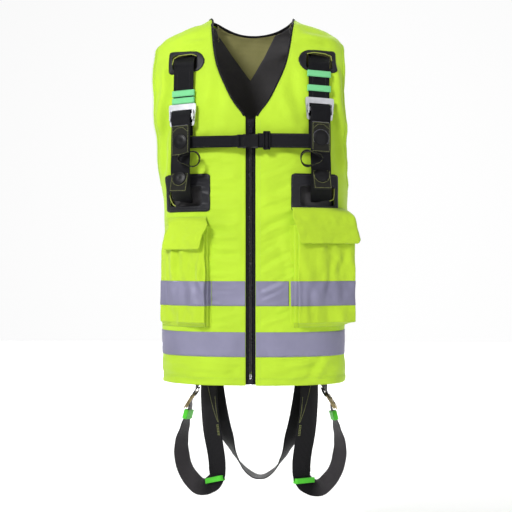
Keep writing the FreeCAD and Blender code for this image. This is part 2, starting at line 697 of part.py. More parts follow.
def make_chest_strap():
    """Two lengths of webbing and a side-release buckle."""
    for side, name in SIDES.items():
        near = FEMALE_X[1] - 4 if side > 0 else 26.4
        xs = [near + (112.0 - near) * i / 5 for i in range(6)]
        stations = [((side * x, chest_y(x), CHEST_Z), (0, 0, 1)) for x in xs]
        if side > 0:
            stations = [((side * x, chest_y(x), CHEST_Z + 1.5), (0, 0, 1)) for x in xs if x > FEMALE_X[1]]
            stations.insert(0, ((FEMALE_X[1] + 0.8, chest_y(0), CHEST_Z + 1.0), (0, 0, 1)))
        keep(f"chest_strap_{name}", ribbon(stations, CHEST_WEB[side], 1.8, 12))

    half, thick = BUCKLE_HALF_HEIGHT, BUCKLE_THICK
    y0, y1 = CHEST_BOW - thick / 2, CHEST_BOW + thick / 2
    z0, z1 = CHEST_Z - half, CHEST_Z + half
    shell = rounded_box((FEMALE_X[0], FEMALE_X[1]), (y0, y1), (z0, z1), 3.5, V(1, 0, 0))
    pocket = box((FEMALE_X[0] - 1, 9), (y0 + 2, y1 - 2), (z0 + 2.2, z1 - 2.2))
    sides = [box((-8, 4), (y0 - 1, y1 + 1), z) for z in ((z0 - 1, z0 + 3), (z1 - 3, z1 + 1))]
    keep("chest_buckle_female", shell.cut([pocket] + sides))

    base = rounded_box((-25.5, -14.4), (y0 + 1.4, y1 - 1.4), (z0 + 1, z1 - 1), 2, V(1, 0, 0))
    slot = box((-22.5, -19), (y0, y1), (z0 + 4, z1 - 4))
    guide = box((-15, 6), (CHEST_BOW - 1.6, CHEST_BOW + 1.6), (CHEST_Z - 2.2, CHEST_Z + 2.2))
    prongs = []
    for s in (1, -1):
        arm = box((-15, -6), (CHEST_BOW - 2, CHEST_BOW + 2),
                  sorted((CHEST_Z + s * 8.2, CHEST_Z + s * 11.4)))
        barb = rounded_box((-7.4, 3.4), (CHEST_BOW - 2.2, CHEST_BOW + 2.2),
                           sorted((CHEST_Z + s * 8.2, CHEST_Z + s * 11.9)), 1.2, V(0, 1, 0))
        prongs += [arm, barb]
    keep("chest_buckle_male", base.cut(slot).fuse([guide] + prongs).removeSplitter())

    x0, x1 = 26.0, 41.0
    y = chest_y(33) - 0.2
    glide = rounded_box((x0, x1), (y - 3.6, y + 3.6), (CHEST_Z - 17, CHEST_Z + 20), 2.5, V(0, 1, 0))
    core = box((x0 - 2, x1 + 2), (y - 2.1, y + 2.2), (CHEST_Z - 14.2, CHEST_Z + 17.2))
    slots = [box((a, a + 3.4), (y - 9, y), (CHEST_Z - 14, CHEST_Z + 17)) for a in (x0 + 2.2, x1 - 5.6)]
    keep("chest_adjuster", glide.cut([core] + slots))


# ---------------------------------------------------------------- harness inside the vest
def skin_station(angle, z, off, other):
    """A station on the inside of the form, its webbing square to the way to the next point."""
    here, there = skin_point(angle, z, off), skin_point(other[0], other[1], off)
    out = (skin_point(angle, z, off + 1) - here).normalize()
    across = out.cross(there - here)
    return tuple(here), tuple(across)


def inside_web(route, off):
    """Webbing against the inside of the shell along (angle, z) pairs."""
    stations = []
    for i, (angle, z) in enumerate(route):
        a, b = route[max(i - 1, 0)], route[min(i + 1, len(route) - 1)]
        ahead = (angle + (b[0] - a[0]) * 0.1, z + (b[1] - a[1]) * 0.1)
        stations.append(skin_station(angle, z, off, ahead))
    return ribbon(stations, WEB, WEB_THICK, 36)


BACK_WEB_OFF = {1: -9.6, -1: -12.0}     # distance inside the form of the middle of each webbing
BACK_ROUTE = ((118, 700), (130, 686), (146, 660), (163, 628), (180, 596), (198, 545), (214, 470),
              (224, 380), (229, 280), (231, 160), (232, 30))
FRONT_ROUTE = ((52, 344), (50, 300), (46, 220), (41, 130), (36, 30))


def make_inner_webs():
    """Webbing between shell and lining: crossing on the back, and down inside each front."""
    crossing = []
    hanging = []
    for side in SIDES:
        turn = 0 if side > 0 else 360
        back = inside_web([(turn + side * a, z) for a, z in BACK_ROUTE], BACK_WEB_OFF[side])
        crossing.append(back)
        hanging.append(inside_web([(side * a, z) for a, z in FRONT_ROUTE], BACK_WEB_OFF[1]))
    keep("back_webs", *crossing)
    keep("front_webs", *hanging)


def make_dorsal():
    """The plastic plate where the webbing crosses, and the D-ring hinged in it, leaning with the back."""
    y = form_point(180, DORSAL_Z).y
    lean_back = form_point(180, DORSAL_Z - 40).y - form_point(180, DORSAL_Z + 40).y
    back_tilt = math.degrees(math.atan2(lean_back, 80))
    axis_y, axis_z = y + 3.0, DORSAL_Z + 10
    plate = rounded_box((-34, 34), (y - 7.6, y - 4.8), (DORSAL_Z - 40, DORSAL_Z + 40), 12, V(0, 1, 0))
    for s in (1, -1):
        lug = box(sorted((s * 26, s * 33)), (y - 5.5, axis_y + 5.5), (axis_z - 5, axis_z + 5))
        plate = plate.fuse(lug)
    bore = Part.makeCylinder(RING_BAR + 0.1, 80, V(-40, axis_y, axis_z), V(1, 0, 0))
    plate = plate.cut(bore).removeSplitter()

    bar = Part.makeCylinder(RING_BAR, 68, V(-34, axis_y, axis_z), V(1, 0, 0))
    legs = [Part.makeCylinder(RING_WIRE, RING_REACH, V(s * RING_HALF, axis_y, axis_z), V(0, 0, -1))
            for s in (1, -1)]
    circle = Part.Circle(V(RING_HALF, axis_y, axis_z - RING_REACH), V(0, 0, 1), RING_WIRE)
    bow = Part.Face(Part.Wire(circle.toShape())).revolve(V(0, axis_y, axis_z - RING_REACH), V(0, 1, 0), 180)
    ring = bar.fuse(legs + [bow]).removeSplitter()
    ring.rotate(V(0, axis_y, axis_z), V(1, 0, 0), RING_REST)
    for shape in (plate, ring):
        shape.rotate(V(0, y, DORSAL_Z), V(1, 0, 0), back_tilt)
    keep("dorsal_plate", plate)
    keep("dorsal_ring", ring)


# ---------------------------------------------------------------- leg straps
BUCKLE_TILT = 31.0      # degrees from upright, the lower end outwards
BUCKLE_CENTRE = (148.0, 14.0, -45.0)


def at_buckle(x, y, z):
    """A point of the left leg's routes from buckle coordinates (X out of the thigh, Z up)."""
    turn = math.radians(BUCKLE_TILT)
    cx, cy, cz = BUCKLE_CENTRE
    return (cx + x * math.cos(turn) - z * math.sin(turn), cy + y, cz + x * math.sin(turn) + z * math.cos(turn))


SEAT_ROUTE = (
    ((94, -42, 12), (0.80, 0.60, 0)),
    ((85, -43, -50), (0.80, 0.55, 0.20)),
    ((71, -39, -105), (0.72, 0.50, 0.45)),
    ((52, -32, -154), (0.50, 0.70, 0.50)),
    ((28, -22, -189), (0.20, 0.95, 0.20)),
)
SEAT_MIDDLE = ((0, -17, -203), (0, 1, 0))
THIGH_ROUTE = (
    ((104, -56, 12), (0.80, 0.60, 0)),
    ((103, -57, -50), (0.82, 0.57, 0)),
    ((96, -56, -110), (0.88, 0.47, 0)),
    ((89, -52, -155), (0.85, 0.52, 0.02)),
    ((88, -47, -186), (0.82, 0.57, 0.06)),
    ((93, -41, -205), (0.66, 0.66, 0.30)),
    ((105, -34, -217), (0.38, 0.76, 0.52)),
    ((124, -26, -222), (0.05, 0.78, 0.62)),
    ((145, -16, -208), (-0.35, 0.78, 0.50)),
    ((160, -8, -186), (-0.52, 0.80, 0.28)),
    ((167, -1, -160), (-0.60, 0.78, 0.08)),
    ((168, 5, -133), (-0.52, 0.85, 0)),
    ((162, 11, -104), (-0.35, 0.93, 0)),
    ((155.5, 14, -76), (-0.16, 0.985, 0)),
    (at_buckle(-5.8, 0.5, -15), (-0.08, 1, 0)),
    (at_buckle(-1.2, 0.2, -4.5), (0, 1, 0)),
    (at_buckle(-0.2, 0, 5), (0, 1, 0)),
)
FOOT_KEEPER, HIP_KEEPER = 5, 13     # the stations of the thigh strap that its keepers sit on
# The hip webbing comes down outside the buckle's top bar, turns under it and ends behind itself
HIP_ROUTE = (
    ((130, 23, 12), (0.46, 0.89, 0)),
    ((132, 20, -6), (0.34, 0.94, 0)),
    (at_buckle(4.0, 1.5, 28), (0.14, 0.99, 0)),
    (at_buckle(3.4, 0.3, 18.5), (0, 1, 0)),
    (at_buckle(2.8, 0, 14.9), (0, 1, 0)),
    (at_buckle(0, 0, 13.5), (0, 1, 0)),
    (at_buckle(-2.8, 0, 14.9), (0, 1, 0)),
    (at_buckle(-3.4, 0, 18.5), (0, 1, 0)),
    (at_buckle(-2.6, 0.5, 25), (0.07, 1, 0)),
    (at_buckle(0, 1.5, 31), (0.16, 0.99, 0)),
)


def leg_side(route, side):
    """A route on either leg."""
    return [((LEG_SHIFT + side * p[0], p[1], p[2]), (side * a[0], a[1], a[2])) for p, a in route]


def at_hip(shape, side):
    """Moves a shape from buckle coordinates (X out of the thigh, Y across the webbing, Z up) to a hip."""
    made = shape.copy()
    if side < 0:
        made = made.mirror(V(0, 0, 0), V(1, 0, 0))
    made.rotate(V(0, 0, 0), V(0, 1, 0), -side * BUCKLE_TILT)
    made.translate(V(LEG_SHIFT + side * BUCKLE_CENTRE[0], BUCKLE_CENTRE[1], BUCKLE_CENTRE[2]))
    return made


def sleeve_on(route, index, height, depth):
    """An elastic keeper round the webbing at one station of a route, its wall 1.1 thick."""
    here, across = route[index]
    up = (V(*route[index - 1][0]) - V(*route[index + 1][0])).normalize()
    side_way = V(*across)
    side_way = (side_way - up * side_way.dot(up)).normalize()
    face = up.cross(side_way)
    tube = rounded_box((-25, 25), (-depth, depth), (-height / 2, height / 2), 1.2, V(0, 0, 1))
    bore = box((-23.8, 23.8), (1.1 - depth, depth - 1.1), (-height, height))
    matrix = FreeCAD.Matrix(side_way.x, face.x, up.x, here[0],
                            side_way.y, face.y, up.y, here[1],
                            side_way.z, face.z, up.z, here[2],
                            0, 0, 0, 1)
    return moved_by(tube.cut(bore), matrix)


def make_leg_straps():
    """The seat strap between the legs, and a thigh loop on each side with its hip buckle."""
    near = leg_side(SEAT_ROUTE, 1)
    middle = [((LEG_SHIFT, SEAT_MIDDLE[0][1], SEAT_MIDDLE[0][2]), SEAT_MIDDLE[1])]
    far = [(p, (a[0], a[1], a[2])) for p, a in reversed(leg_side(SEAT_ROUTE, -1))]
    keep("seat_strap", ribbon(near + middle + far, WEB, WEB_THICK, 40))
    frames, hips, keepers = [], [], []
    for side, name in SIDES.items():
        thigh = leg_side(THIGH_ROUTE, side)
        keep(f"thigh_strap_{name}", ribbon(thigh, WEB, WEB_THICK, 48))
        hips.append(ribbon(leg_side(HIP_ROUTE, side), WEB, WEB_THICK, 60))
        frame = rounded_box((-1.6, 1.6), (-29, 29), (-17, 19), 4, V(1, 0, 0))
        window_low = box((-3, 3), (-23.5, 23.5), (-12, 8))
        window_high = box((-3, 3), (-23.5, 23.5), (11.5, 15.5))
        frames.append(at_hip(frame.cut([window_low, window_high]), side))
        plate = rounded_box((2.4, 5.2), (-26.5, 26.5), (-20, 12), 5, V(1, 0, 0))
        holes = [box((1, 6), (-22.5, 22.5), z) for z in ((-13, -4), (-1, 7))]
        keep(f"hip_buckle_plate_{name}", at_hip(plate.cut(holes), side))
        keepers += [sleeve_on(thigh, HIP_KEEPER, 20, 4.5), sleeve_on(thigh, FOOT_KEEPER, 12, 6.0)]
    keep("hip_buckle_frames", *frames)
    keep("hip_straps", *hips)
    keep("thigh_keepers", *keepers)


# ---------------------------------------------------------------- build
def main():
    make_shell()
    make_lining()
    make_patches()
    make_reflective_tape()
    make_zip()
    make_pockets()
    make_shoulder_straps()
    make_front_straps()
    make_chest_strap()
    make_inner_webs()
    make_dorsal()
    make_leg_straps()
    os.makedirs("parts", exist_ok=True)
    for old in os.listdir("parts"):
        os.remove(os.path.join("parts", old))
    for name, solids in sorted(PARTS.items()):
        whole = solids[0] if len(solids) == 1 else Part.makeCompound(solids)
        whole.exportStep(f"parts/{name}.step")
        bad = [s for s in solids if not s.isValid() or s.Volume <= 0]
        print(name, len(solids), "BAD" if bad or not solids else "", round(whole.Volume / 1000, 1), "cm3")
    print(len(PARTS), "nodes")


main()
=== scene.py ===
"""Safety harness vest, the visual model: cloth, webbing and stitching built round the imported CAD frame.

Lengths inside this script are millimetres in the CAD frame (+Z up, the wearer faces -Y), and
become metres when a mesh is made.
"""

import math

import bpy
import numpy as np
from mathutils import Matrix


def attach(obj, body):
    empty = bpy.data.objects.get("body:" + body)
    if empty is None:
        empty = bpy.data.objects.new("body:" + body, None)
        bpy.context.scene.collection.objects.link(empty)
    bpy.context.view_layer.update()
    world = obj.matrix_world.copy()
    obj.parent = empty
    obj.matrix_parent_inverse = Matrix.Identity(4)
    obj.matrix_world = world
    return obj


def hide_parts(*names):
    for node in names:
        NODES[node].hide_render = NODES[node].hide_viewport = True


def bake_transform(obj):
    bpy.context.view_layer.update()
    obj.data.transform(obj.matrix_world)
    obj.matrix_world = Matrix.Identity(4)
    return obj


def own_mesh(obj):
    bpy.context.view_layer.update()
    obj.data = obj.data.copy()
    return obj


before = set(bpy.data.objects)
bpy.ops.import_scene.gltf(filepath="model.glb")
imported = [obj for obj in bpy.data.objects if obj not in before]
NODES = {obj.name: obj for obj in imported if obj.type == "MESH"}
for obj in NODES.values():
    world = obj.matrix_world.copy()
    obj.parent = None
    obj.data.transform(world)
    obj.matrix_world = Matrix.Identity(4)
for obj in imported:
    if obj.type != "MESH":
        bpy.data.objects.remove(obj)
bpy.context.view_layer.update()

MM = 0.001
SIDES = {1: "left", -1: "right"}

# ---------------------------------------------------------------- driving dimensions
# The torso form by height: z, half width, front depth, back depth, sideways lean of the flanks
FORM = np.array((
    (-30, 192, 120, 112, 0),
    (0, 192, 120, 112, 0),
    (200, 192, 120, 110, 1),
    (350, 193, 120, 109, 5),
    (410, 196, 120, 110, 2),
    (470, 207, 120, 112, -3),
    (545, 217, 120, 113, -6),
    (600, 220, 114, 112, -8),
    (650, 216, 104, 106, -8),
    (690, 203, 90, 95, -7),
    (713, 187, 80, 85, -5),
    (729, 168, 72, 77, -4),
    (741, 141, 64, 70, -4),
    (750, 108, 57, 63, -4),
    (766, 82, 50, 56, -4),
), float)
ROUNDNESS = 2.4
SHELL_TOP, CLOTH_TOP, LINING_TOP = 766.0, 762.0, 760.5
SHELL = 1.6             # shell cloth
LINING_DEPTH = 14.5
ZIP_HALF_GAP = 10.0
V_NECK = ((10, 540), (10.2, 545), (14, 552), (26, 566), (38, 585), (49, 608), (61.5, 636), (70, 664),
          (77, 707), (81, 751), (82, 766))
NECK_HALF, BACK_NECK_LOW, BACK_NECK_END = 82.0, 742.0, 764.0
ARM_Z, ARM_HALF_HEIGHT, ARM_HALF_DEPTH = 558.0, 148.0, 62.0
BINDING = 5.0
TAPE_HEIGHT, LOWER_TAPE_Z, UPPER_TAPE_Z = 50.0, 58.0, 161.0
WEB, WEB_THICK = 45.0, 2.0
STRAP_X, STRAP_LEAN, STRAP_TURN, STRAP_REF = 138.0, 6.5, 20.0, 500.0
STRAP_REF_Y = {1: -109.5, -1: -113.5}
KEEPER_Z = {1: (632, 602), -1: (593, 577.6)}
FRAME_TOP = {1: 582.0, -1: 570.0}
UPPER_DISC_Z = {1: 498.0, -1: 492.0}
LOWER_DISC_Z = {1: 424.0, -1: 419.0}
FRONT_WEB_OUT = 9.4
CHEST_PATCH = dict(x=(82, 176), z=(353, 428), hole_x=(101, 168), hole_z=(364, 403), corner=5)
SHOULDER_PATCH = dict(x=(96, 172), z=(636, 684), hole_x=(112, 164), hole_z=(645, 676), corner=13)
BACK_PATCH = dict(x=(-62, 62), z=(566, 662), hole_x=(-37, 37), hole_z=(586, 638), corner=14)
CHEST_Z, CHEST_BOW = 492.0, -135.0
CHEST_WEB = {1: 29.0, -1: 24.0}
POCKET_PLAN = {
    1: ((97, 124.5), (213, 66.0), (192, 16)),
    -1: ((94, 130.5), (195, 66.5), (190, 16)),
}
POCKET_X, POCKET_TOP = 79.0, 326.0
FLAP_TOP = {1: 346.0, -1: 338.0}
FLAP_BOTTOM = {1: 287.0, -1: 275.0}
ZIP_FACE = -120.0 + 2.4 + 0.4
LEG_SHIFT = 14.0


# ---------------------------------------------------------------- numbers and curves
def monotone(xs, ys):
    """A monotone cubic through points, as a function of an array."""
    xs, ys = np.asarray(xs, float), np.asarray(ys, float)
    step = np.diff(xs)
    slope = np.diff(ys) / step
    tangent = np.concatenate([[slope[0]], np.zeros(len(xs) - 2), [slope[-1]]])
    for i in range(1, len(slope)):
        if slope[i - 1] * slope[i] > 0:
            tangent[i] = 2 / (1 / slope[i - 1] + 1 / slope[i])

    def at(x):
        x = np.asarray(x, float)
        i = np.clip(np.searchsorted(xs, x, side="right") - 1, 0, len(step) - 1)
        h = step[i]
        t = (x - xs[i]) / h
        return (ys[i] * (1 + 2 * t) * (1 - t) ** 2 + tangent[i] * h * t * (1 - t) ** 2
                + ys[i + 1] * t * t * (3 - 2 * t) + tangent[i + 1] * h * t * t * (t - 1))

    return at


def smoothstep(x, low, high):
    """0 below low, 1 above high, and smooth between."""
    t = np.clip((np.asarray(x, float) - low) / (high - low), 0, 1)
    return t * t * (3 - 2 * t)


def unit(v):
    """Vectors of length 1."""
    return v / np.maximum(np.linalg.norm(v, axis=-1, keepdims=True), 1e-12)


def run_along(path):
    """The distance along a path at each of its places."""
    return np.concatenate([[0], np.cumsum(np.linalg.norm(np.diff(path, axis=0), axis=1))])


def sampled(at, along, values):
    """Rows of values, known at distances along, read off at other distances."""
    return np.stack([np.interp(at, along, values[:, k]) for k in range(values.shape[1])], axis=1)


HASH_PRIMES = np.array((374761393, 668265263, 914107151), np.int64)
WORD = 0xFFFFFFFF


def noise3(points, size, seed):
    """Smooth lattice noise from -1 to 1 at points, with cells of that size in mm."""
    q = np.asarray(points, float) / size + 1000.0
    cell = np.floor(q).astype(np.int64)
    f = q - cell
    f = f * f * (3 - 2 * f)
    total = np.zeros(q.shape[:-1])
    for corner in np.ndindex(2, 2, 2):
        n = (((cell + np.array(corner)) * HASH_PRIMES).sum(axis=-1) + seed * 69069) & WORD
        n = ((n ^ (n >> 13)) * 1274126177) & WORD
        n = (n ^ (n >> 16)) / WORD * 2 - 1
        w = np.prod(np.where(np.array(corner) == 1, f, 1 - f), axis=-1)
        total += w * n
    return total


def spline(points, count):
    """A natural cubic through points: its places at even parameter steps, and the share of each."""
    p = np.asarray(points, float)
    t = run_along(p)
    h, n = np.diff(t), len(p)
    a = np.eye(n)
    rhs = np.zeros_like(p)
    for i in range(1, n - 1):
        a[i, i - 1:i + 2] = h[i - 1], 2 * (h[i - 1] + h[i]), h[i]
        rhs[i] = 6 * ((p[i + 1] - p[i]) / h[i] - (p[i] - p[i - 1]) / h[i - 1])
    m = np.linalg.solve(a, rhs)
    at = np.linspace(0, t[-1], count)
    i = np.clip(np.searchsorted(t, at, side="right") - 1, 0, n - 2)
    u = (at - t[i])[:, None]
    w, d = (t[i + 1] - at)[:, None], h[i][:, None]
    places = ((m[i] * w ** 3 + m[i + 1] * u ** 3) / (6 * d)
              + (p[i] / d - m[i] * d / 6) * w + (p[i + 1] / d - m[i + 1] * d / 6) * u)
    return places, at, t


def even(path, step):
    """The path again with places about step apart."""
    path = np.asarray(path, float)
    along = run_along(path)
    return sampled(np.linspace(0, along[-1], max(2, int(round(along[-1] / step)) + 1)), along, path)


# ---------------------------------------------------------------- the torso form and its folds
half_width, front_depth, back_depth, lean = (monotone(FORM[:, 0], FORM[:, k]) for k in (1, 2, 3, 4))
neck_x = monotone([z for _, z in V_NECK], [x for x, _ in V_NECK])


def form(angle, z):
    """Points of the form: angle in degrees from the front centre towards the wearer's left."""
    a = np.radians(np.asarray(angle, float))
    s, c = np.sin(a), np.cos(a)
    z = np.asarray(z, float) + 0 * a
    depth = np.where(c > 0, front_depth(z), back_depth(z))
    r = (np.abs(s / half_width(z)) ** ROUNDNESS + np.abs(c / depth) ** ROUNDNESS) ** (-1 / ROUNDNESS)
    return np.stack([r * s + lean(z) * s * s, -r * c, z], axis=-1)


def form_normal(angle, z):
    """The form's outward normals."""
    around = form(np.asarray(angle) + 0.2, z) - form(np.asarray(angle) - 0.2, z)
    up = form(angle, np.asarray(z) + 0.3) - form(angle, np.asarray(z) - 0.3)
    return unit(np.cross(around, up))


def angle_at(x, z, back=False):
    """The angle on the front or the back at which the form has this x."""
    x = np.asarray(x, float)
    low, high = np.full(x.shape, 90.0 if back else -90.0), np.full(x.shape, 270.0 if back else 90.0)
    for _ in range(34):
        middle = (low + high) / 2
        ahead = (form(middle, z)[..., 0] < x) ^ back
        low, high = np.where(ahead, middle, low), np.where(ahead, high, middle)
    return (low + high) / 2


def side_angle_at(side, y, z):
    """The angle on one flank at which the form has this y."""
    low, high = np.zeros(np.shape(y)), np.full(np.shape(y), 180.0)
    for _ in range(34):
        middle = (low + high) / 2
        ahead = form(side * middle, z)[..., 1] < y
        low, high = np.where(ahead, middle, low), np.where(ahead, high, middle)
    return side * (low + high) / 2


# Creases of the front: from x, z to x, z, then their width and height
CREASES = (
    (20, 186, 74, 208, 6, 0.9), (20, 228, 78, 254, 7, 1.1), (20, 262, 76, 292, 6, 1.0),
    (22, 296, 80, 328, 8, 1.2), (22, 334, 84, 356, 7, 0.9), (24, 372, 78, 392, 8, 0.9),
    (30, 420, 92, 440, 9, 0.8), (52, 300, 74, 210, 9, -0.8),
    (-16, 328, -76, 326, 7, 0.9), (-18, 303, -78, 300, 8, 1.0), (-16, 279, -76, 280, 7, 1.0),
    (-20, 252, -76, 254, 8, 0.9), (-20, 232, -74, 226, 7, 0.7), (-24, 414, -80, 412, 9, 0.8),
    (-24, 386, -74, 390, 8, -0.7), (-20, 356, -70, 350, 8, 0.8),
    (-22, 150, -72, 138, 6, 0.9), (-18, 128, -66, 122, 6, 0.8), (22, 122, 74, 140, 6, 0.9),
    (24, 144, 70, 150, 6, -0.7),
    (-40, 36, -128, 30, 7, 1.5), (-90, 18, -170, 26, 8, 1.3), (24, 34, 118, 44, 7, 1.3),
    (70, 16, 150, 26, 7, 1.4), (128, 10, 158, 48, 9, 1.5), (-130, 44, -176, 40, 7, 1.2),
    (172, 650, 184, 520, 8, 2.6), (164, 580, 180, 440, 8, -2.0), (186, 600, 196, 470, 8, 1.8),
    (-180, 650, -190, 520, 8, 2.6), (-172, 560, -184, 430, 8, -2.2), (-166, 480, -178, 404, 7, 1.8),
    (100, 716, 168, 706, 9, 1.8), (90, 690, 156, 696, 10, -1.4), (-96, 706, -150, 700, 9, 1.6),
    (-108, 728, -164, 708, 8, 1.4), (74, 640, 104, 560, 12, -1.2), (58, 600, 88, 520, 12, 1.2),
    (-74, 650, -98, 560, 12, 1.2), (-60, 590, -84, 500, 12, -1.0), (60, 470, 96, 455, 9, 1.0),
    (-64, 468, -100, 452, 9, 1.1), (100, 520, 116, 470, 9, 1.0), (-84, 520, -112, 508, 9, 0.9),
)
# Creases of the back
BACK_CREASES = (
    (-120, 330, 40, 352, 12, 1.6), (-60, 290, 130, 268, 12, 1.6), (-140, 400, -30, 372, 12, 1.4),
    (30, 410, 150, 440, 12, 1.5), (-150, 250, -40, 238, 10, 1.2), (50, 140, 160, 130, 9, 1.2),
    (-150, 136, -40, 146, 9, 1.2), (-120, 40, -20, 28, 9, 1.6), (20, 34, 140, 26, 9, 1.5),
    (-66, 560, -150, 500, 11, 1.6), (66, 560, 150, 505, 11, 1.5), (-60, 690, -150, 700, 10, 1.4),
    (60, 690, 150, 704, 10, 1.4), (-30, 540, -60, 450, 12, -1.2), (26, 536, 70, 440, 12, 1.2),
    (0, 556, 4, 480, 10, -1.2), (-110, 600, -160, 640, 10, 1.2), (110, 610, 160, 660, 10, 1.2),
)


def creases(x, z, rows):
    """The height of a set of creases: each is a ridge with a shallower valley beside it."""
    total = np.zeros(np.shape(x))
    for x0, z0, x1, z1, width, height in rows:
        dx, dz = x1 - x0, z1 - z0
        length = math.hypot(dx, dz)
        along = ((x - x0) * dx + (z - z0) * dz) / length
        across = ((z - z0) * dx - (x - x0) * dz) / length + 2.4 * np.sin(along / 17 + x0)
        ends = smoothstep(along, -14, 14) * (1 - smoothstep(along, length - 14, length + 14))
        ridge = np.exp(-(across / width) ** 2) - 0.55 * np.exp(-((across - 1.7 * width) / width) ** 2)
        total += height * ends * ridge
    return total


def streaks(a, b, seed):
    """Noise over two coordinates that are already in cells."""
    return noise3(np.stack([a, b, a * 0], axis=-1), 1.0, seed)


def drag(x, z):
    """Long shallow pulls across the belly, steeper on the wearer's left than on the right."""
    level = np.where(x > 0, 0.40, 0.04)
    run, rise = np.abs(x) + z * level, z - np.abs(x) * level
    pulls = streaks(run / 58, rise / 8.5, 61) + 0.5 * streaks(run / 30, rise / 4.6, 67)
    belly = smoothstep(z, 96, 150) * (1 - smoothstep(z, 420, 520)) * (1 - smoothstep(np.abs(x), 84, 120))
    return 1.7 * pulls * belly


def fold(angle, z):
    """How far the cloth stands off the form, in mm: soft swells, creases and puckered seams."""
    p = form(angle, z)
    x, y = p[..., 0], p[..., 1]
    front = 1 - smoothstep(y, -12, 12)
    flank = smoothstep(np.abs(x), 60, 170)
    swell = 1.9 * noise3(p * (1, 1, 0.6), 74, 3) + 1.3 * noise3(p * (1, 1, 0.8), 31, 7)
    fine = 0.42 * noise3(p, 13, 11)
    hem = 1 - smoothstep(z, 0, 60)
    wave = hem * (2.0 * np.sin(x / 21 + 0.9 * np.sin(x / 47)) * (1 - 0.3 * front) + 0.5)
    arms = np.exp(-((np.hypot(y / ARM_HALF_DEPTH, (z - ARM_Z) / ARM_HALF_HEIGHT) - 1.12) / 0.22) ** 2) * flank
    roll = arms * 1.4 * np.sin(z / 15 + y / 19)
    seams = np.zeros(np.shape(z))
    for level in (LOWER_TAPE_Z, LOWER_TAPE_Z + TAPE_HEIGHT, UPPER_TAPE_Z, UPPER_TAPE_Z + TAPE_HEIGHT):
        seams += np.exp(-((z - level) / 7) ** 2)
    pucker = -0.5 * seams + 0.35 * seams * np.sin(x / 3.4 + y / 3.9)
    low = 2.2 * (1 - smoothstep(z, 40, 62)) * streaks(x / 34, z / 9, 71)
    total = (swell + fine + wave + roll + pucker + (drag(x, z) + low) * front
             + 2.2 * front * creases(x, z, CREASES) + 3.0 * (1 - front) * creases(x, z, BACK_CREASES))
    calm = smoothstep(np.abs(x), 12, 34) * front + (1 - front)
    top = 1 - 0.75 * smoothstep(z, 738, 762)
    beside_neck = np.exp(-(np.abs(np.abs(x) - neck_x(np.clip(z, 540, SHELL_TOP))) / 16) ** 2)
    edge = 1 - 0.6 * beside_neck * front * (z > 540)
    return np.clip(total * calm * top * edge, -5.0, 6.0)


def skin(angle, z, off=0.0):
    """Points of the folded cloth, moved out by off."""
    lift = fold(angle, z) + off
    return form(angle, z) + form_normal(angle, z) * lift[..., None]


def front_skin(x, z, off=0.0):
    """Points of the folded front, by x and z."""
    return skin(angle_at(x, z), z, off)


def back_skin(x, z, off=0.0):
    """Points of the folded back, by x and z."""
    return skin(angle_at(x, z, back=True), z, off)


# ---------------------------------------------------------------- materials
def srgb(r, g, b):
    """A linear colour from 0-255 display values."""
    def lin(v):
        v /= 255
        return v / 12.92 if v <= 0.04045 else ((v + 0.055) / 1.055) ** 2.4
    return (lin(r), lin(g), lin(b), 1.0)


def feed(tree, socket, value):
    """Joins a node's output to a socket, or sets the socket to a plain value."""
    if isinstance(value, bpy.types.NodeSocket):
        tree.links.new(value, socket)
    else:
        socket.default_value = value


def add_node(tree, kind, settings=(), **inputs):
    """A shader node with its settings and inputs. An input is a name, or i and a number."""
    made = tree.nodes.new(kind)
    for name, value in dict(settings).items():
        setattr(made, name, value)
    for name, value in inputs.items():
        numbered = name[0] == "i" and name[1:].isdigit()
        feed(tree, made.inputs[int(name[1:]) if numbered else name], value)
    return made


BAND = 0.314159     # the wave texture's period at a scale of 1


class Look:
    """A procedural material: helpers that add and join its nodes."""

    def __init__(self, name, roughness, **sockets):
        self.made = bpy.data.materials.new(name)
        self.made.use_nodes = True
        self.tree = self.made.node_tree
        self.shader = self.tree.nodes["Principled BSDF"]
        self.shader.inputs["Roughness"].default_value = roughness
        for socket, value in sockets.items():
            self.shader.inputs[socket.replace("_", " ")].default_value = value
        self.where = self.tree.nodes.new("ShaderNodeTexCoord")

    def node(self, kind, settings=(), **inputs):
        return add_node(self.tree, kind, settings, **inputs)

    def noise(self, scale, detail=2.0):
        return self.node("ShaderNodeTexNoise", Vector=self.where.outputs["Object"], Scale=scale,
                         Detail=detail).outputs["Fac"]

    def wave(self, period, direction, distortion=0.0):
        settings = {"bands_direction": direction}
        return self.node("ShaderNodeTexWave", settings, Vector=self.where.outputs["UV"],
                         Scale=BAND / (period * MM), Distortion=distortion).outputs["Fac"]

    def maths(self, operation, a, b):
        return self.node("ShaderNodeMath", {"operation": operation}, i0=a, i1=b).outputs[0]

    def ramp(self, value, low, high, dark, light):
        fac = self.node("ShaderNodeMapRange", i0=value, i1=low, i2=high).outputs[0]
        return self.mix(fac, dark, light)

    def mix(self, fac, a, b):
        return self.node("ShaderNodeMix", {"data_type": "RGBA"}, i0=fac, i6=a, i7=b).outputs[2]

    def colour(self, value):
        self.tree.links.new(value, self.shader.inputs["Base Color"])
        return self

    def rough(self, value, low, high):
        spread = self.node("ShaderNodeMapRange", i0=value, i3=low, i4=high).outputs[0]
        self.tree.links.new(spread, self.shader.inputs["Roughness"])
        return self

    def bump(self, *layers):
        normal = None
        for height, strength, distance in layers:
            bump = self.node("ShaderNodeBump", Strength=strength, Distance=distance * MM, Height=height)
            if normal is not None:
                self.tree.links.new(normal, bump.inputs["Normal"])
            normal = bump.outputs["Normal"]
        self.tree.links.new(normal, self.shader.inputs["Normal"])
        return self


def shade(colour, factor):
    """A colour made lighter or darker."""
    return tuple(min(1.0, c * factor) for c in colour[:3]) + (1.0,)


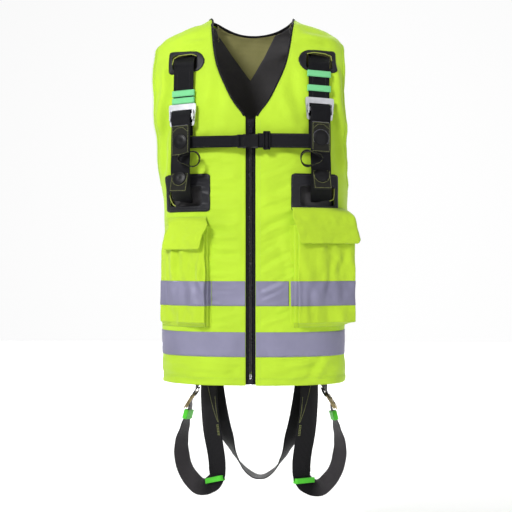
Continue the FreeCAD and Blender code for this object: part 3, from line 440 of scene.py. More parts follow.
def cloth_look(name, colour, period=0.9, roughness=0.72, sheen=0.15, specular=0.3):
    """Woven or knitted polyester."""
    look = Look(name, roughness, Sheen_Weight=sheen, Sheen_Roughness=0.5, Specular_IOR_Level=specular)
    tone = look.ramp(look.noise(9.0, 3.0), 0.35, 0.68, shade(colour, 0.93), shade(colour, 1.05))
    thread = look.maths("MULTIPLY", look.wave(period, "X"), look.wave(period, "Y"))
    tinted = look.mix(look.maths("MULTIPLY", thread, 0.20), tone, shade(colour, 0.80))
    look.colour(tinted)
    return look.bump((look.noise(46.0, 3.0), 0.6, 2.6), (look.noise(260.0, 4.0), 0.25, 0.35),
                     (thread, 0.5, 0.25))


WEB_ROUGHNESS = 0.45


def web_look(name, colour, rib=2.1, sheen=0.02, glint=None):
    """Webbing: ribs along its length, crossed by the weft. UVs run across and along, in metres."""
    look = Look(name, WEB_ROUGHNESS, Sheen_Weight=sheen, Sheen_Roughness=0.4, Specular_IOR_Level=0.13)
    ribs = look.wave(rib, "X")
    weft = look.wave(0.9, "Y", distortion=0.6)
    weave = look.maths("ADD", ribs, look.maths("MULTIPLY", weft, 0.6))
    light = glint or shade(colour, 2.2)
    look.colour(look.ramp(weave, 0.2, 1.5, colour, light))
    look.rough(look.noise(120.0, 3.0), WEB_ROUGHNESS - 0.1, WEB_ROUGHNESS + 0.12)
    return look.bump((weave, 0.7, 0.35), (look.noise(500.0), 0.2, 0.2))


def leg_look():
    """The thigh loops' webbing, with a painted sheen that makes it paler where it bows out to the sides."""
    look = web_look("leg_webbing", srgb(9, 9, 11), rib=3.0, glint=srgb(30, 29, 32))
    spread = look.node("ShaderNodeSeparateXYZ", i0=look.where.outputs["Object"]).outputs["X"]
    aside = look.maths("ABSOLUTE", look.maths("SUBTRACT", spread, LEG_SHIFT * MM), 0.0)
    # painted sheen: a paler colour towards the outer sides stands in for the light the loops catch where they
    # bow out
    painted_sheen = look.node("ShaderNodeMapRange", i0=aside, i1=0.108, i2=0.142).outputs[0]
    woven = look.shader.inputs["Base Color"].links[0].from_socket
    return look.colour(look.mix(painted_sheen, woven, srgb(56, 53, 56)))


def metal_look(name, colour, roughness, dark):
    """Plated steel with fine scratches and darker wear."""
    look = Look(name, roughness, Metallic=1.0)
    wear = look.noise(45.0, 5.0)
    look.colour(look.ramp(wear, 0.35, 0.7, shade(colour, dark), colour))
    look.rough(look.noise(160.0, 6.0), roughness - 0.06, roughness + 0.12)
    return look.bump((look.noise(900.0, 3.0), 0.08, 0.1), (look.noise(30.0, 2.0), 0.1, 0.3))


def plastic_look(name, colour, roughness, specular=0.35):
    """Moulded plastic with a fine spark-eroded grain."""
    look = Look(name, roughness, Specular_IOR_Level=specular)
    look.colour(look.ramp(look.noise(60.0, 4.0), 0.3, 0.75, shade(colour, 0.8), shade(colour, 1.5)))
    look.rough(look.noise(200.0, 3.0), roughness - 0.08, roughness + 0.1)
    return look.bump((look.noise(1500.0, 2.0), 0.25, 0.12))


YELLOW = srgb(184, 221, 46)
BLACK_WEB = srgb(11, 11, 14)
THREADS = {"yellow_thread": (176, 214, 44), "grey_thread": (132, 132, 148), "black_thread": (30, 30, 34),
           "mint_thread": (112, 186, 122), "olive_thread": (146, 152, 84)}


def make_looks():
    """Every material by name."""
    looks = {}
    looks["hi_vis"] = cloth_look("hi_vis_cloth", YELLOW)
    looks["hi_vis_pocket"] = cloth_look("hi_vis_pocket_cloth", srgb(184, 218, 42))
    looks["hi_vis_trim"] = cloth_look("hi_vis_binding", srgb(180, 217, 46), period=0.7)
    looks["binding"] = cloth_look("black_binding", srgb(17, 16, 19), period=0.8, roughness=0.6, sheen=0.02,
                                  specular=0.12)
    looks["facing"] = cloth_look("black_facing", srgb(58, 56, 58), period=1.2, roughness=0.7, sheen=0.08)
    looks["patch"] = patch_look()
    looks["mesh"] = mesh_look()
    looks["tape"] = tape_look()
    looks["web"] = web_look("black_webbing", BLACK_WEB)
    looks["chest_web"] = web_look("chest_webbing", srgb(10, 10, 15), rib=2.6)
    looks["leg_web"] = leg_look()
    looks["seat_web"] = web_look("seat_webbing", srgb(9, 9, 11), rib=3.0, glint=srgb(28, 27, 30))
    looks["tab"] = web_look("tab_webbing", srgb(18, 18, 18), rib=1.6, glint=srgb(46, 46, 40))
    elastic = {"rib": 1.3, "sheen": 0.1}
    looks["mint"] = web_look("mint_elastic", srgb(110, 205, 136), glint=srgb(142, 226, 164), **elastic)
    looks["green"] = web_look("green_elastic", srgb(66, 196, 44), glint=srgb(112, 232, 76), **elastic)
    looks["steel"] = metal_look("plated_steel", (0.64, 0.65, 0.68, 1), 0.36, 0.75)
    looks["zinc"] = metal_look("zinc_steel", (0.50, 0.40, 0.20, 1), 0.32, 0.5)
    looks["plastic"] = plastic_look("black_plastic", srgb(12, 12, 15), 0.2, 0.6)
    looks["disc"] = plastic_look("disc_rubber", srgb(15, 15, 17), 0.36, 0.2)
    looks["zip"] = plastic_look("zip_teeth_plastic", srgb(26, 24, 32), 0.24)
    # the turned yellow cloth at the slits, dimmed to olive as painted shade for an edge that lies in shadow
    looks["slit"] = cloth_look("shaded_slit_edge", srgb(150, 160, 66), period=0.6)
    for name, colour in THREADS.items():
        looks[name] = thread_look(name, srgb(*colour))
    return {name: look.made for name, look in looks.items()}


def thread_look(name, colour):
    """Twisted sewing thread."""
    look = Look(name, 0.6, Sheen_Weight=0.3)
    look.colour(look.ramp(look.noise(800.0, 2.0), 0.3, 0.7, shade(colour, 0.75), shade(colour, 1.15)))
    return look.bump((look.noise(1800.0), 0.4, 0.15))


def patch_look():
    """Coated reinforcement fabric."""
    look = Look("black_patch", 0.45, Specular_IOR_Level=0.2, Sheen_Weight=0.02)
    colour = srgb(34, 34, 38)
    look.colour(look.ramp(look.noise(26.0, 4.0), 0.3, 0.72, shade(colour, 0.7), shade(colour, 1.25)))
    where = look.where.outputs["Object"]
    grain = look.node("ShaderNodeTexVoronoi", Vector=where, Scale=650.0).outputs["Distance"]
    look.rough(look.noise(70.0, 3.0), 0.3, 0.56)
    return look.bump((grain, 0.5, 0.25), (look.noise(34.0, 3.0), 0.2, 0.6))


def mesh_look():
    """Open mesh lining: dark thread with the yellow shell showing through its holes."""
    look = Look("mesh_lining", 0.85, Sheen_Weight=0.1)
    holes = look.maths("MULTIPLY", look.wave(2.4, "X"), look.wave(2.4, "Y"))
    tone = look.ramp(look.noise(14.0, 3.0), 0.3, 0.7, srgb(124, 121, 68), srgb(156, 152, 96))
    look.colour(look.mix(look.maths("MULTIPLY", holes, 0.55), tone, srgb(48, 47, 30)))
    return look.bump((holes, 0.8, 0.5))


def tape_look():
    """Retroreflective tape: a bead-coated face with a fine woven backing pressed into it."""
    look = Look("reflective_tape", 0.55, Metallic=0.2, Specular_IOR_Level=0.45)
    colour = srgb(136, 134, 160)
    tone = look.ramp(look.noise(12.0, 4.0), 0.32, 0.7, shade(colour, 0.86), shade(colour, 1.12))
    weave = look.maths("MULTIPLY", look.wave(0.8, "X"), look.wave(0.8, "Y"))
    look.colour(look.mix(look.maths("MULTIPLY", weave, 0.16), tone, shade(colour, 0.75)))
    look.rough(look.noise(30.0, 3.0), 0.46, 0.66)
    return look.bump((weave, 0.35, 0.15), (look.noise(22.0, 3.0), 0.25, 0.9))


LOOKS = make_looks()


# ---------------------------------------------------------------- meshes
def make_piece(name, points, faces, look, body, slot=None, uv=None, nodes=(), smooth=True):
    """A mesh object in the CAD frame that rides on a body. Points are mm and uv is metres per vertex."""
    mesh = bpy.data.meshes.new(name)
    mesh.from_pydata((np.asarray(points, float) * MM).tolist(), [], faces)
    if uv is not None:
        layer = mesh.uv_layers.new(name="UVMap")
        index = np.zeros(len(mesh.loops), np.int32)
        mesh.loops.foreach_get("vertex_index", index)
        layer.data.foreach_set("uv", np.asarray(uv, np.float32)[index].ravel())
    mesh.polygons.foreach_set("use_smooth", [smooth] * len(mesh.polygons))
    mesh.update()
    made = bpy.data.objects.new(name, mesh)
    bpy.context.collection.objects.link(made)
    made.data.materials.append(LOOKS[look])
    if body:
        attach(made, body)
    if nodes:
        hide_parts(*nodes)
    return made


def make_sheet(name, points, faces, look, body, uv, **piece):
    """A piece whose two layers of points share their UVs."""
    return make_piece(name, points, faces, look, body, uv=np.concatenate([uv, uv]), **piece)


def widened(pair, by):
    """A range made wider at both ends."""
    return pair[0] - by, pair[1] + by


def rect_distance(x, z, box_x, box_z, corner):
    """Signed distance to a rounded rectangle, positive outside."""
    cx, cz = sum(box_x) / 2, sum(box_z) / 2
    dx = np.abs(x - cx) - (box_x[1] - box_x[0]) / 2 + corner
    dz = np.abs(z - cz) - (box_z[1] - box_z[0]) / 2 + corner
    return np.hypot(np.maximum(dx, 0), np.maximum(dz, 0)) + np.minimum(np.maximum(dx, dz), 0) - corner


def trimmed_grid(us, vs, scale_u, inside):
    """A grid cut to where inside(u, v) > 0: its vertices' u and v, its cells and its boundary edges."""
    u, v = np.meshgrid(us, vs, indexing="ij")
    u, v = u.copy(), v.copy()
    nu, nv = u.shape
    keep = np.ones((nu - 1, nv - 1), bool)
    if inside is not None:
        g = inside(u, v)
        keep = (g[:-1, :-1] + g[1:, :-1] + g[1:, 1:] + g[:-1, 1:]) > 0
    around = np.zeros((nu + 1, nv + 1), int)
    around[1:-1, 1:-1] = keep
    used = around[:-1, :-1] + around[1:, :-1] + around[:-1, 1:] + around[1:, 1:]
    full = np.full((nu, nv), 4)
    full[[0, -1], :] = 2
    full[:, [0, -1]] = 2
    full[[0, 0, -1, -1], [0, -1, 0, -1]] = 1
    if inside is not None:
        rim = (used > 0) & (used < full)
        iu, iv = np.nonzero(rim)
        pu, pv = u[rim], v[rim]
        free_u, free_v = (iu > 0) & (iu < nu - 1), (iv > 0) & (iv < nv - 1)
        for _ in range(5):
            g = inside(pu, pv)
            gu = (inside(pu + 0.05 / scale_u, pv) - inside(pu - 0.05 / scale_u, pv)) / 0.1 * free_u
            gv = (inside(pu, pv + 0.05) - inside(pu, pv - 0.05)) / 0.1 * free_v
            size = np.maximum(gu ** 2 + gv ** 2, 0.02)
            move = np.clip(g / size, -6, 6)
            pu, pv = pu - move * gu / scale_u, pv - move * gv
        pu, pv = np.clip(pu, us[0], us[-1]), np.clip(pv, vs[0], vs[-1])
        u[rim], v[rim] = pu, pv
    number = np.full((nu, nv), -1)
    number[used > 0] = np.arange((used > 0).sum())
    a, b, c, d = number[:-1, :-1][keep], number[1:, :-1][keep], number[1:, 1:][keep], number[:-1, 1:][keep]
    cells = np.stack([a, b, c, d], axis=1)
    edges = np.concatenate([cells[:, [k, (k + 1) % 4]] for k in range(4)])
    ordered = np.sort(edges, axis=1)
    _, first, count = np.unique(ordered, axis=0, return_index=True, return_counts=True)
    return u[used > 0], v[used > 0], cells, edges[first[count == 1]]


def joined(top, bottom, cells, border):
    """Two layers of a cut sheet as one mesh, closed round the border."""
    n = len(top)
    faces = cells.tolist() + (cells[:, ::-1] + n).tolist()
    faces += np.stack([border[:, 1], border[:, 0], border[:, 0] + n, border[:, 1] + n], axis=1).tolist()
    return np.concatenate([top, bottom]), faces


def layered(u, v, cells, border, place, outer, inner):
    """Two layers of a cut sheet joined round the border, whose edge is rounded over."""
    on_edge = np.zeros(len(u), bool)
    on_edge[border.ravel()] = True
    thick = outer - inner
    top = place(u, v, np.where(on_edge, outer - 0.35 * thick, outer))
    bottom = place(u, v, np.where(on_edge, inner + 0.25 * thick, inner))
    return joined(top, bottom, cells, border)


def span(low, high, step):
    """Evenly spaced values from low to high."""
    return np.linspace(low, high, max(2, int(round((high - low) / step)) + 1))


def shell_rows(low, high, step):
    """Heights whose rows are evenly spaced over the form's flank, which turns flat at the shoulder."""
    z = np.linspace(low, high, 800)
    along = run_along(np.stack([half_width(z), z], axis=1))
    count = max(3, int(round(along[-1] / step)) + 1)
    return np.interp(np.linspace(0, along[-1], count), along, z)


def ring_length(angle):
    """Rough length along the section from the front centre, in mm, for cloth UVs."""
    table = np.linspace(-180, 360, 541)
    return np.interp(angle, table, run_along(form(table, 300.0)))


def cloth_sheet(name, angles, heights, inside, outer, inner, look, step=4.0, place=skin, **piece):
    """A sheet cut from the folded form by angle and height."""
    us = span(*sorted(angles), step / 3.5)
    vs = shell_rows(*heights, step)
    u, v, cells, border = trimmed_grid(us, vs, 3.5, inside)
    points, faces = layered(u, v, cells, border, place, outer, inner)
    uv = np.stack([ring_length(u), v], axis=1) * MM
    return make_sheet(name, points, faces, look, "vest", uv, **piece)


def flat_sheet(name, xs, zs, inside, outer, inner, look, step=2.5, back=False, **piece):
    """A sheet cut by x and z and laid on the folded front or back."""
    place = back_skin if back else front_skin
    u, v, cells, border = trimmed_grid(span(*sorted(xs), step), span(*zs, step), 1.0, inside)
    if back:
        cells, border = cells[:, ::-1], border[:, ::-1]
    points, faces = layered(u, v, cells, border, place, outer, inner)
    uv = np.stack([u, v], axis=1) * MM
    return make_sheet(name, points, faces, look, "vest", uv, **piece)


def sweep(path, across, face, profile, closed=False):
    """A profile carried along a path. Profile points are (across, face) in mm, one ring per place."""
    n, k = len(path), len(profile)
    profile = np.asarray(profile, float)
    points = (path[:, None] + across[:, None] * profile[None, :, :1] + face[:, None] * profile[None, :, 1:])
    uv = np.empty((n, k, 2))
    uv[..., 0] = profile[:, 0]
    uv[..., 1] = run_along(path)[:, None]
    faces = []
    for i in range(n if closed else n - 1):
        a, b = i * k, ((i + 1) % n) * k
        for j in range(k):
            jn = (j + 1) % k
            faces.append((a + j, a + jn, b + jn, b + j))
    if not closed:
        faces.append(tuple(range(k - 1, -1, -1)))
        faces.append(tuple((n - 1) * k + j for j in range(k)))
    return points.reshape(-1, 3), faces, uv.reshape(-1, 2) * MM


def web_profile(width, thick):
    """The section of flat webbing, with rounded selvedges."""
    w, t = width / 2, thick / 2
    us = np.concatenate([[-w + 0.35 * t], np.linspace(-w + 1.4, w - 1.4, 7), [w - 0.35 * t]])
    top = [(u, t * (0.72 if abs(u) > w - 0.6 else 1.0)) for u in us]
    return [(-w, 0)] + top + [(w, 0)] + [(u, -high) for u, high in top[::-1]]


def stations_path(stations, count):
    """Places, across and face directions along stations of (point, direction across)."""
    points = [s[0] for s in stations]
    path, at, marks = spline(points, count)
    crosses = unit(np.array([s[1] for s in stations], float))
    k = np.clip(np.searchsorted(marks, at, side="right") - 1, 0, len(marks) - 2)
    share = smoothstep((at - marks[k]) / (marks[k + 1] - marks[k]), 0, 1)[:, None]
    across = crosses[k] * (1 - share) + crosses[k + 1] * share
    tangent = unit(np.gradient(path, axis=0))
    across = unit(across - tangent * (across * tangent).sum(1, keepdims=True))
    return path, across, np.cross(tangent, across)


def webbing(name, stations, width, look, body="vest", thick=WEB_THICK, count=90, **piece):
    """A length of flat webbing through stations."""
    path, across, face = stations_path(stations, count)
    points, faces, uv = sweep(path, across, face, web_profile(width, thick)[::-1])
    return make_piece(name, points, faces, look, body, "black_webbing", uv, **piece)


def ring_profile(half_w, half_t, corner, count=6):
    """A closed rounded rectangle."""
    points = []
    for cx, cy, start in ((1, 1, 0), (-1, 1, 90), (-1, -1, 180), (1, -1, 270)):
        for i in range(count + 1):
            a = math.radians(start + 90 * i / count)
            points.append((cx * (half_w - corner) + corner * math.cos(a),
                           cy * (half_t - corner) + corner * math.sin(a)))
    return np.array(points)


def elastic_band(name, centre, across, face, up, half_w, half_t, height, look, body, slot, node=()):
    """A sewn elastic keeper: a closed band with a rounded rim that draws in at its middle."""
    outline = ring_profile(half_w, half_t, min(1.6, half_t * 0.7))
    rows = ((-0.5, 0.0, -1.2), (-0.5, 0.0, -0.3), (-0.42, 0.5, 0), (-0.2, 0.35, 0), (0, 0.3, 0),
            (0.2, 0.35, 0), (0.42, 0.5, 0), (0.5, 0.0, -0.3), (0.5, 0.0, -1.2))
    points, uv = [], []
    girth = run_along(outline)
    for share, puff, inset in rows:
        size = 1 + (puff + inset) / np.maximum(np.abs(outline).max(0), 1)
        ring = outline * size
        points.append(centre + across * ring[:, :1] + face * ring[:, 1:] + up * (share * height))
        uv.append(np.stack([girth, np.full(len(outline), share * height)], axis=1))
    k = len(outline)
    faces = [(i * k + j, i * k + (j + 1) % k, (i + 1) * k + (j + 1) % k, (i + 1) * k + j)
             for i in range(len(rows) - 1) for j in range(k)]
    last = (len(rows) - 1) * k
    faces += [(last + j, last + (j + 1) % k, (j + 1) % k, j) for j in range(k)]
    return make_piece(name, np.concatenate(points), faces, look, body, slot, np.concatenate(uv)[:, ::-1] * MM,
                      nodes=node)


# ---------------------------------------------------------------- stitching
STITCHES = {}
STITCH_FILL = 0.68      # how much of a stitch's pitch is thread


def capsules(starts, ends, lift, radius):
    """Short rounded rods between pairs of points, raised along lift."""
    starts, ends = np.asarray(starts, float), np.asarray(ends, float)
    along = unit(ends - starts)
    up = unit(lift - along * (lift * along).sum(1, keepdims=True))
    side = np.cross(along, up)
    rings = []
    for share, size, rise in ((0.0, 0.45, -0.3), (0.18, 0.95, 0.25), (0.82, 0.95, 0.25), (1.0, 0.45, -0.3)):
        middle = starts + (ends - starts) * share + up * (rise * radius)
        for k in range(6):
            a = math.radians(60 * k)
            rings.append(middle + (side * math.cos(a) + up * math.sin(a)) * radius * size)
    points = np.stack(rings, axis=1).reshape(-1, 3)
    base = np.arange(len(starts))[:, None, None] * 24
    quads = [(r * 6 + k, r * 6 + (k + 1) % 6, (r + 1) * 6 + (k + 1) % 6, (r + 1) * 6 + k)
             for r in range(3) for k in range(6)]
    faces = (base + np.array(quads)[None]).reshape(-1, 4).tolist()
    caps = np.array([[5, 4, 3, 2, 1, 0], [18, 19, 20, 21, 22, 23]])
    return points, faces + (base + caps[None]).reshape(-1, 6).tolist()


def merged(parts):
    """Several meshes of (points, faces) as one."""
    points, faces, count = [], [], 0
    for places, cells in parts:
        points.append(places)
        faces += [[i + count for i in cell] for cell in cells]
        count += len(places)
    return np.concatenate(points), faces


def stitch(path, lift, thread="yellow_thread", body="vest", pitch=4.2, radius=0.38):
    """A row of stitches along a path, kept until stitching is made. Lift is a direction per place or one."""
    path = np.asarray(path, float)
    lift = np.broadcast_to(np.asarray(lift, float), path.shape)
    both = even(np.concatenate([path, lift], axis=1), 1.0)
    along = run_along(both[:, :3])
    at = np.arange(0, along[-1] - pitch * STITCH_FILL, pitch)
    start, end = sampled(at, along, both), sampled(at + pitch * STITCH_FILL, along, both)
    STITCHES.setdefault((body, thread), []).append((start[:, :3], end[:, :3], unit(start[:, 3:]), radius))


def make_stitching():
    """One mesh of stitches for each body and thread."""
    for (body, thread), rows in STITCHES.items():
        points, faces = merged(capsules(*row) for row in rows)
        make_piece(f"stitching_{body}_{thread}", points, faces, thread, body)


def stitch_skin(angles, heights, off, **kind):
    """Stitches on the folded cloth along arrays of angle and height."""
    angles, heights = np.broadcast_arrays(np.asarray(angles, float), np.asarray(heights, float))
    stitch(skin(angles, heights, off), form_normal(angles, heights), **kind)


def stitch_rect(xs, zs, corner, off, back=False, **kind):
    """A closed row round a rounded rectangle on the front or back."""
    cx, cz = sum(xs) / 2, sum(zs) / 2
    outline = ring_profile(abs(xs[1] - xs[0]) / 2, (zs[1] - zs[0]) / 2, corner)
    outline = even(np.concatenate([outline, outline[:1]]), 2.0)
    x, z = outline[:, 0] + cx, outline[:, 1] + cz
    stitch_skin(angle_at(x, z, back), z, off, **kind)


# ---------------------------------------------------------------- vest panels
def armhole_gap(angle, z, grow):
    """How far outside the armhole oval a place is, for the flanks."""
    p = form(angle, z)
    r = np.hypot(p[..., 1] / (ARM_HALF_DEPTH + grow), (z - ARM_Z) / (ARM_HALF_HEIGHT + grow))
    return np.where(np.abs(p[..., 0]) > 100, (r - 1) * ARM_HALF_DEPTH, 1e3)


def front_gap(angle, z, grow, centre=ZIP_HALF_GAP):
    """How far inside a front panel's cut edges a place is."""
    x = np.abs(form(angle, z)[..., 0])
    neck = neck_x(np.clip(z, 540, SHELL_TOP)) + grow * smoothstep(z, 540, 550)
    return np.minimum(x - np.maximum(neck, centre), armhole_gap(angle, z, grow))


NECK_RADIUS = (NECK_HALF ** 2 + (BACK_NECK_END - BACK_NECK_LOW) ** 2) / (2 * (BACK_NECK_END - BACK_NECK_LOW))


def back_neck_z(x):
    """The height of the back neckline at x."""
    return BACK_NECK_LOW + NECK_RADIUS - np.sqrt(NECK_RADIUS ** 2 - np.minimum(np.abs(x), NECK_HALF) ** 2)


def back_gap(angle, z, grow):
    """How far inside the back panel's cut edges a place is."""
    x = form(angle, z)[..., 0]
    neck = np.where(np.abs(x) < NECK_HALF + grow, back_neck_z(x) - grow - z, 1e3)
    return np.minimum(neck, armhole_gap(angle, z, grow))


def hole_gap(patch, side, angle, z):
    """How far outside a patch's hole a place is, with a hem's width to spare."""
    x = side * form(angle, z)[..., 0]
    return rect_distance(x, z, patch["hole_x"], patch["hole_z"], 4.0) - 0.8


HEM_SEAMS = (13.0, 15.6)        # heights of the rows of stitches above the hem
ZIP_SEAMS = (13.2, 19.5)        # how far the rows of stitches beside the zip are from its centre
SHOULDER_SEAM_LOW = 712


def make_panels():
    """The two fronts and the back of the shell, with their topstitching."""
    for side, name in SIDES.items():
        def inside(angle, z, side=side):
            gap = front_gap(angle, z, BINDING - 1)
            gap = np.minimum(gap, hole_gap(CHEST_PATCH, side, angle, z))
            return np.minimum(gap, hole_gap(SHOULDER_PATCH, side, angle, z))

        cloth_sheet(f"front_cloth_{name}", (side * 3.0, side * 90.0), (0, CLOTH_TOP), inside, 0.0, -SHELL,
                    "hi_vis", step=3.2, slot="hi_vis_cloth", nodes=(f"front_panel_{name}",))
        z = np.arange(6, 541, 6.0)
        for x in ZIP_SEAMS:
            stitch_skin(angle_at(side * x, z), z, 0.1)
        z = np.arange(548, 762, 4.0)
        stitch_skin(angle_at(side * (neck_x(z) + BINDING + 3.2), z), z, 0.1)
        z = np.arange(4, 404, 5.0)
        stitch_skin(side * 88.6, z, 0.1)
        z = np.arange(SHOULDER_SEAM_LOW, 762, 4.0)
        for shift in (-3.2, -6.2):
            stitch_skin(side * (90 + shift), z, 0.1)
        angles = side * np.arange(6.2, 89, 1.0)
        for level in HEM_SEAMS:
            stitch_skin(angles, level, 0.1)

    def inside_back(angle, z):
        x = form(angle, z)[..., 0]
        hole = rect_distance(x, z, BACK_PATCH["hole_x"], BACK_PATCH["hole_z"], 4.0) + 1.6
        return np.minimum(back_gap(angle, z, BINDING - 1), hole)

    cloth_sheet("back_cloth", (90.0, 270.0), (0, CLOTH_TOP), inside_back, 0.0, -SHELL, "hi_vis", step=3.2,
                slot="hi_vis_cloth", nodes=("back_panel",))
    for level in HEM_SEAMS:
        stitch_skin(np.arange(91, 269, 1.0), level, 0.1)
    for side in SIDES:
        for shift in (2.8, 5.6):
            z = np.arange(SHOULDER_SEAM_LOW, 760, 4.0)
            stitch_skin(180 - side * (90 - shift), z, 0.1)


def edge_path(places, off):
    """Places, across and face directions of a binding along rows of (angle, z)."""
    angle, z = places[:, 0], places[:, 1]
    path = skin(angle, z, off)
    normal = form_normal(angle, z)
    tangent = unit(np.gradient(path, axis=0))
    return path, unit(np.cross(normal, tangent)), normal


BOUND_EDGE = ring_profile(3.4, 1.9, 1.5, 4)


def make_bindings():
    """Black binding round the neck and yellow binding round the armholes."""
    z = shell_rows(541, 761.5, 3.0)
    x = neck_x(z) + 2.6
    left = np.stack([angle_at(x, z), z], axis=1)
    xs = np.linspace(81, -81, 60)
    zs = back_neck_z(xs) - 2.6
    back = np.stack([angle_at(xs, zs, back=True), zs], axis=1)
    right = np.stack([angle_at(-x, z) + 360, z], axis=1)[::-1]
    rows = np.concatenate([left, back, right])
    along = run_along(edge_path(rows, 0.0)[0])
    rows = sampled(np.arange(0, along[-1], 3.0), along, rows)
    padded = np.pad(rows, ((4, 4), (0, 0)), mode="edge")
    soft = np.stack([np.convolve(column, np.ones(9) / 9, "valid") for column in padded.T], axis=1)
    path, across, face = edge_path(soft, -0.8)
    width = (0.55 + 0.45 * smoothstep(path[:, 1], -32, 8))[:, None]
    points, faces, uv = sweep(path, across * width, face, BOUND_EDGE)
    make_piece("neck_edge", points, faces, "binding", "vest", "black_binding", uv, nodes=("neck_binding",))
    for shift in (-1.9, 1.9):
        stitch(path + across * width * shift + face * 1.95, face, thread="black_thread", pitch=3.4,
               radius=0.28)

    turn = np.radians(np.arange(0, 360, 2.0))
    for side, name in SIDES.items():
        grow = BINDING / 2
        y, z = (ARM_HALF_DEPTH + grow) * np.cos(turn), ARM_Z + (ARM_HALF_HEIGHT + grow) * np.sin(turn)
        rows = np.stack([side_angle_at(side, y, z), z], axis=1)
        path = skin(rows[:, 0], rows[:, 1], -0.8)
        normal = form_normal(rows[:, 0], rows[:, 1])
        tangent = unit(np.roll(path, -1, axis=0) - np.roll(path, 1, axis=0))
        across = unit(np.cross(normal, tangent))
        points, faces, uv = sweep(path, across, normal, ring_profile(3.0, 1.7, 1.4, 4), closed=True)
        make_piece(f"armhole_edge_{name}", points, faces, "hi_vis_trim", "vest", "yellow_binding", uv,
                   nodes=(f"armhole_binding_{name}",))
        loop = np.concatenate([path, path[:1]])
        lift = np.concatenate([normal, normal[:1]])
        out = np.concatenate([across, across[:1]])
        stitch(loop + out * 1.6 + lift * 1.8, lift, pitch=3.6, radius=0.32)
        stitch(loop - out * 5.4 + lift * 0.9, lift, pitch=4.2, radius=0.34)


# ---------------------------------------------------------------- tape and patches
BESIDE_POCKET = 74.0    # degrees round the form from which the tape shows again behind a pocket


def tape_seams(low):
    """The heights of the two rows of stitches on a tape whose lower edge is at low."""
    return low + 2.4, low + TAPE_HEIGHT - 2.4


def make_tapes():
    """Reflective tape round the vest, stitched along both edges."""
    for z0, node, ends in ((LOWER_TAPE_Z, "lower_tape", {1: 300.0, -1: 300.0}),
                           (UPPER_TAPE_Z, "upper_tape", {1: POCKET_X - 1.8, -1: POCKET_X + 0.5})):
        for side, name in SIDES.items():
            reach = ends[side]

            def inside(angle, z, reach=reach):
                x = np.abs(form(angle, z)[..., 0])
                beside = np.minimum(x - ZIP_HALF_GAP - 0.6, reach - x)
                return np.maximum(beside, np.abs(angle) - BESIDE_POCKET)

            cloth_sheet(f"{node}_{name}", (side * 3.0, side * 90.0), (z0, z0 + TAPE_HEIGHT), inside, 0.9,
                        0.25, "tape", step=3.0, slot="reflective_tape")
            limit = 89.0 if reach > 200 else float(angle_at(np.array(reach - 2), np.array(z0)))
            for level in tape_seams(z0):
                stitch_skin(side * np.arange(6.3, limit, 1.0), level, 1.0, thread="grey_thread")
        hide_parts(f"{node}_front")
        cloth_sheet(f"{node}_round_back", (90.0, 270.0), (z0, z0 + TAPE_HEIGHT), None, 0.9, 0.25, "tape",
                    step=3.2, slot="reflective_tape", nodes=(f"{node}_back",))
        for level in tape_seams(z0):
            stitch_skin(np.arange(90.5, 269.5, 1.0), level, 1.0, thread="grey_thread")


# Where a slit's turned cloth edge shows, as x and z along it; the edge is coloured a dimmed yellow as painted
# shade
HOLE_EDGES = {
    1: {"shoulder": ((113, 674), (126, 677.6), (150, 676.5), (162, 672), (163.6, 662)),
        "chest": ((168, 400), (167.4, 384), (165, 377), (158, 374))},
    -1: {"shoulder": ((-112.5, 672), (-124, 676.6), (-150, 674), (-161, 668), (-163.6, 656)),
         "chest": ((-168, 388), (-166, 378), (-160, 368), (-154, 364.4))},
}


FRONT_PATCHES = {"chest": CHEST_PATCH, "shoulder": SHOULDER_PATCH}
PATCH_STITCHES = {"thread": "black_thread", "pitch": 3.6, "radius": 0.33}


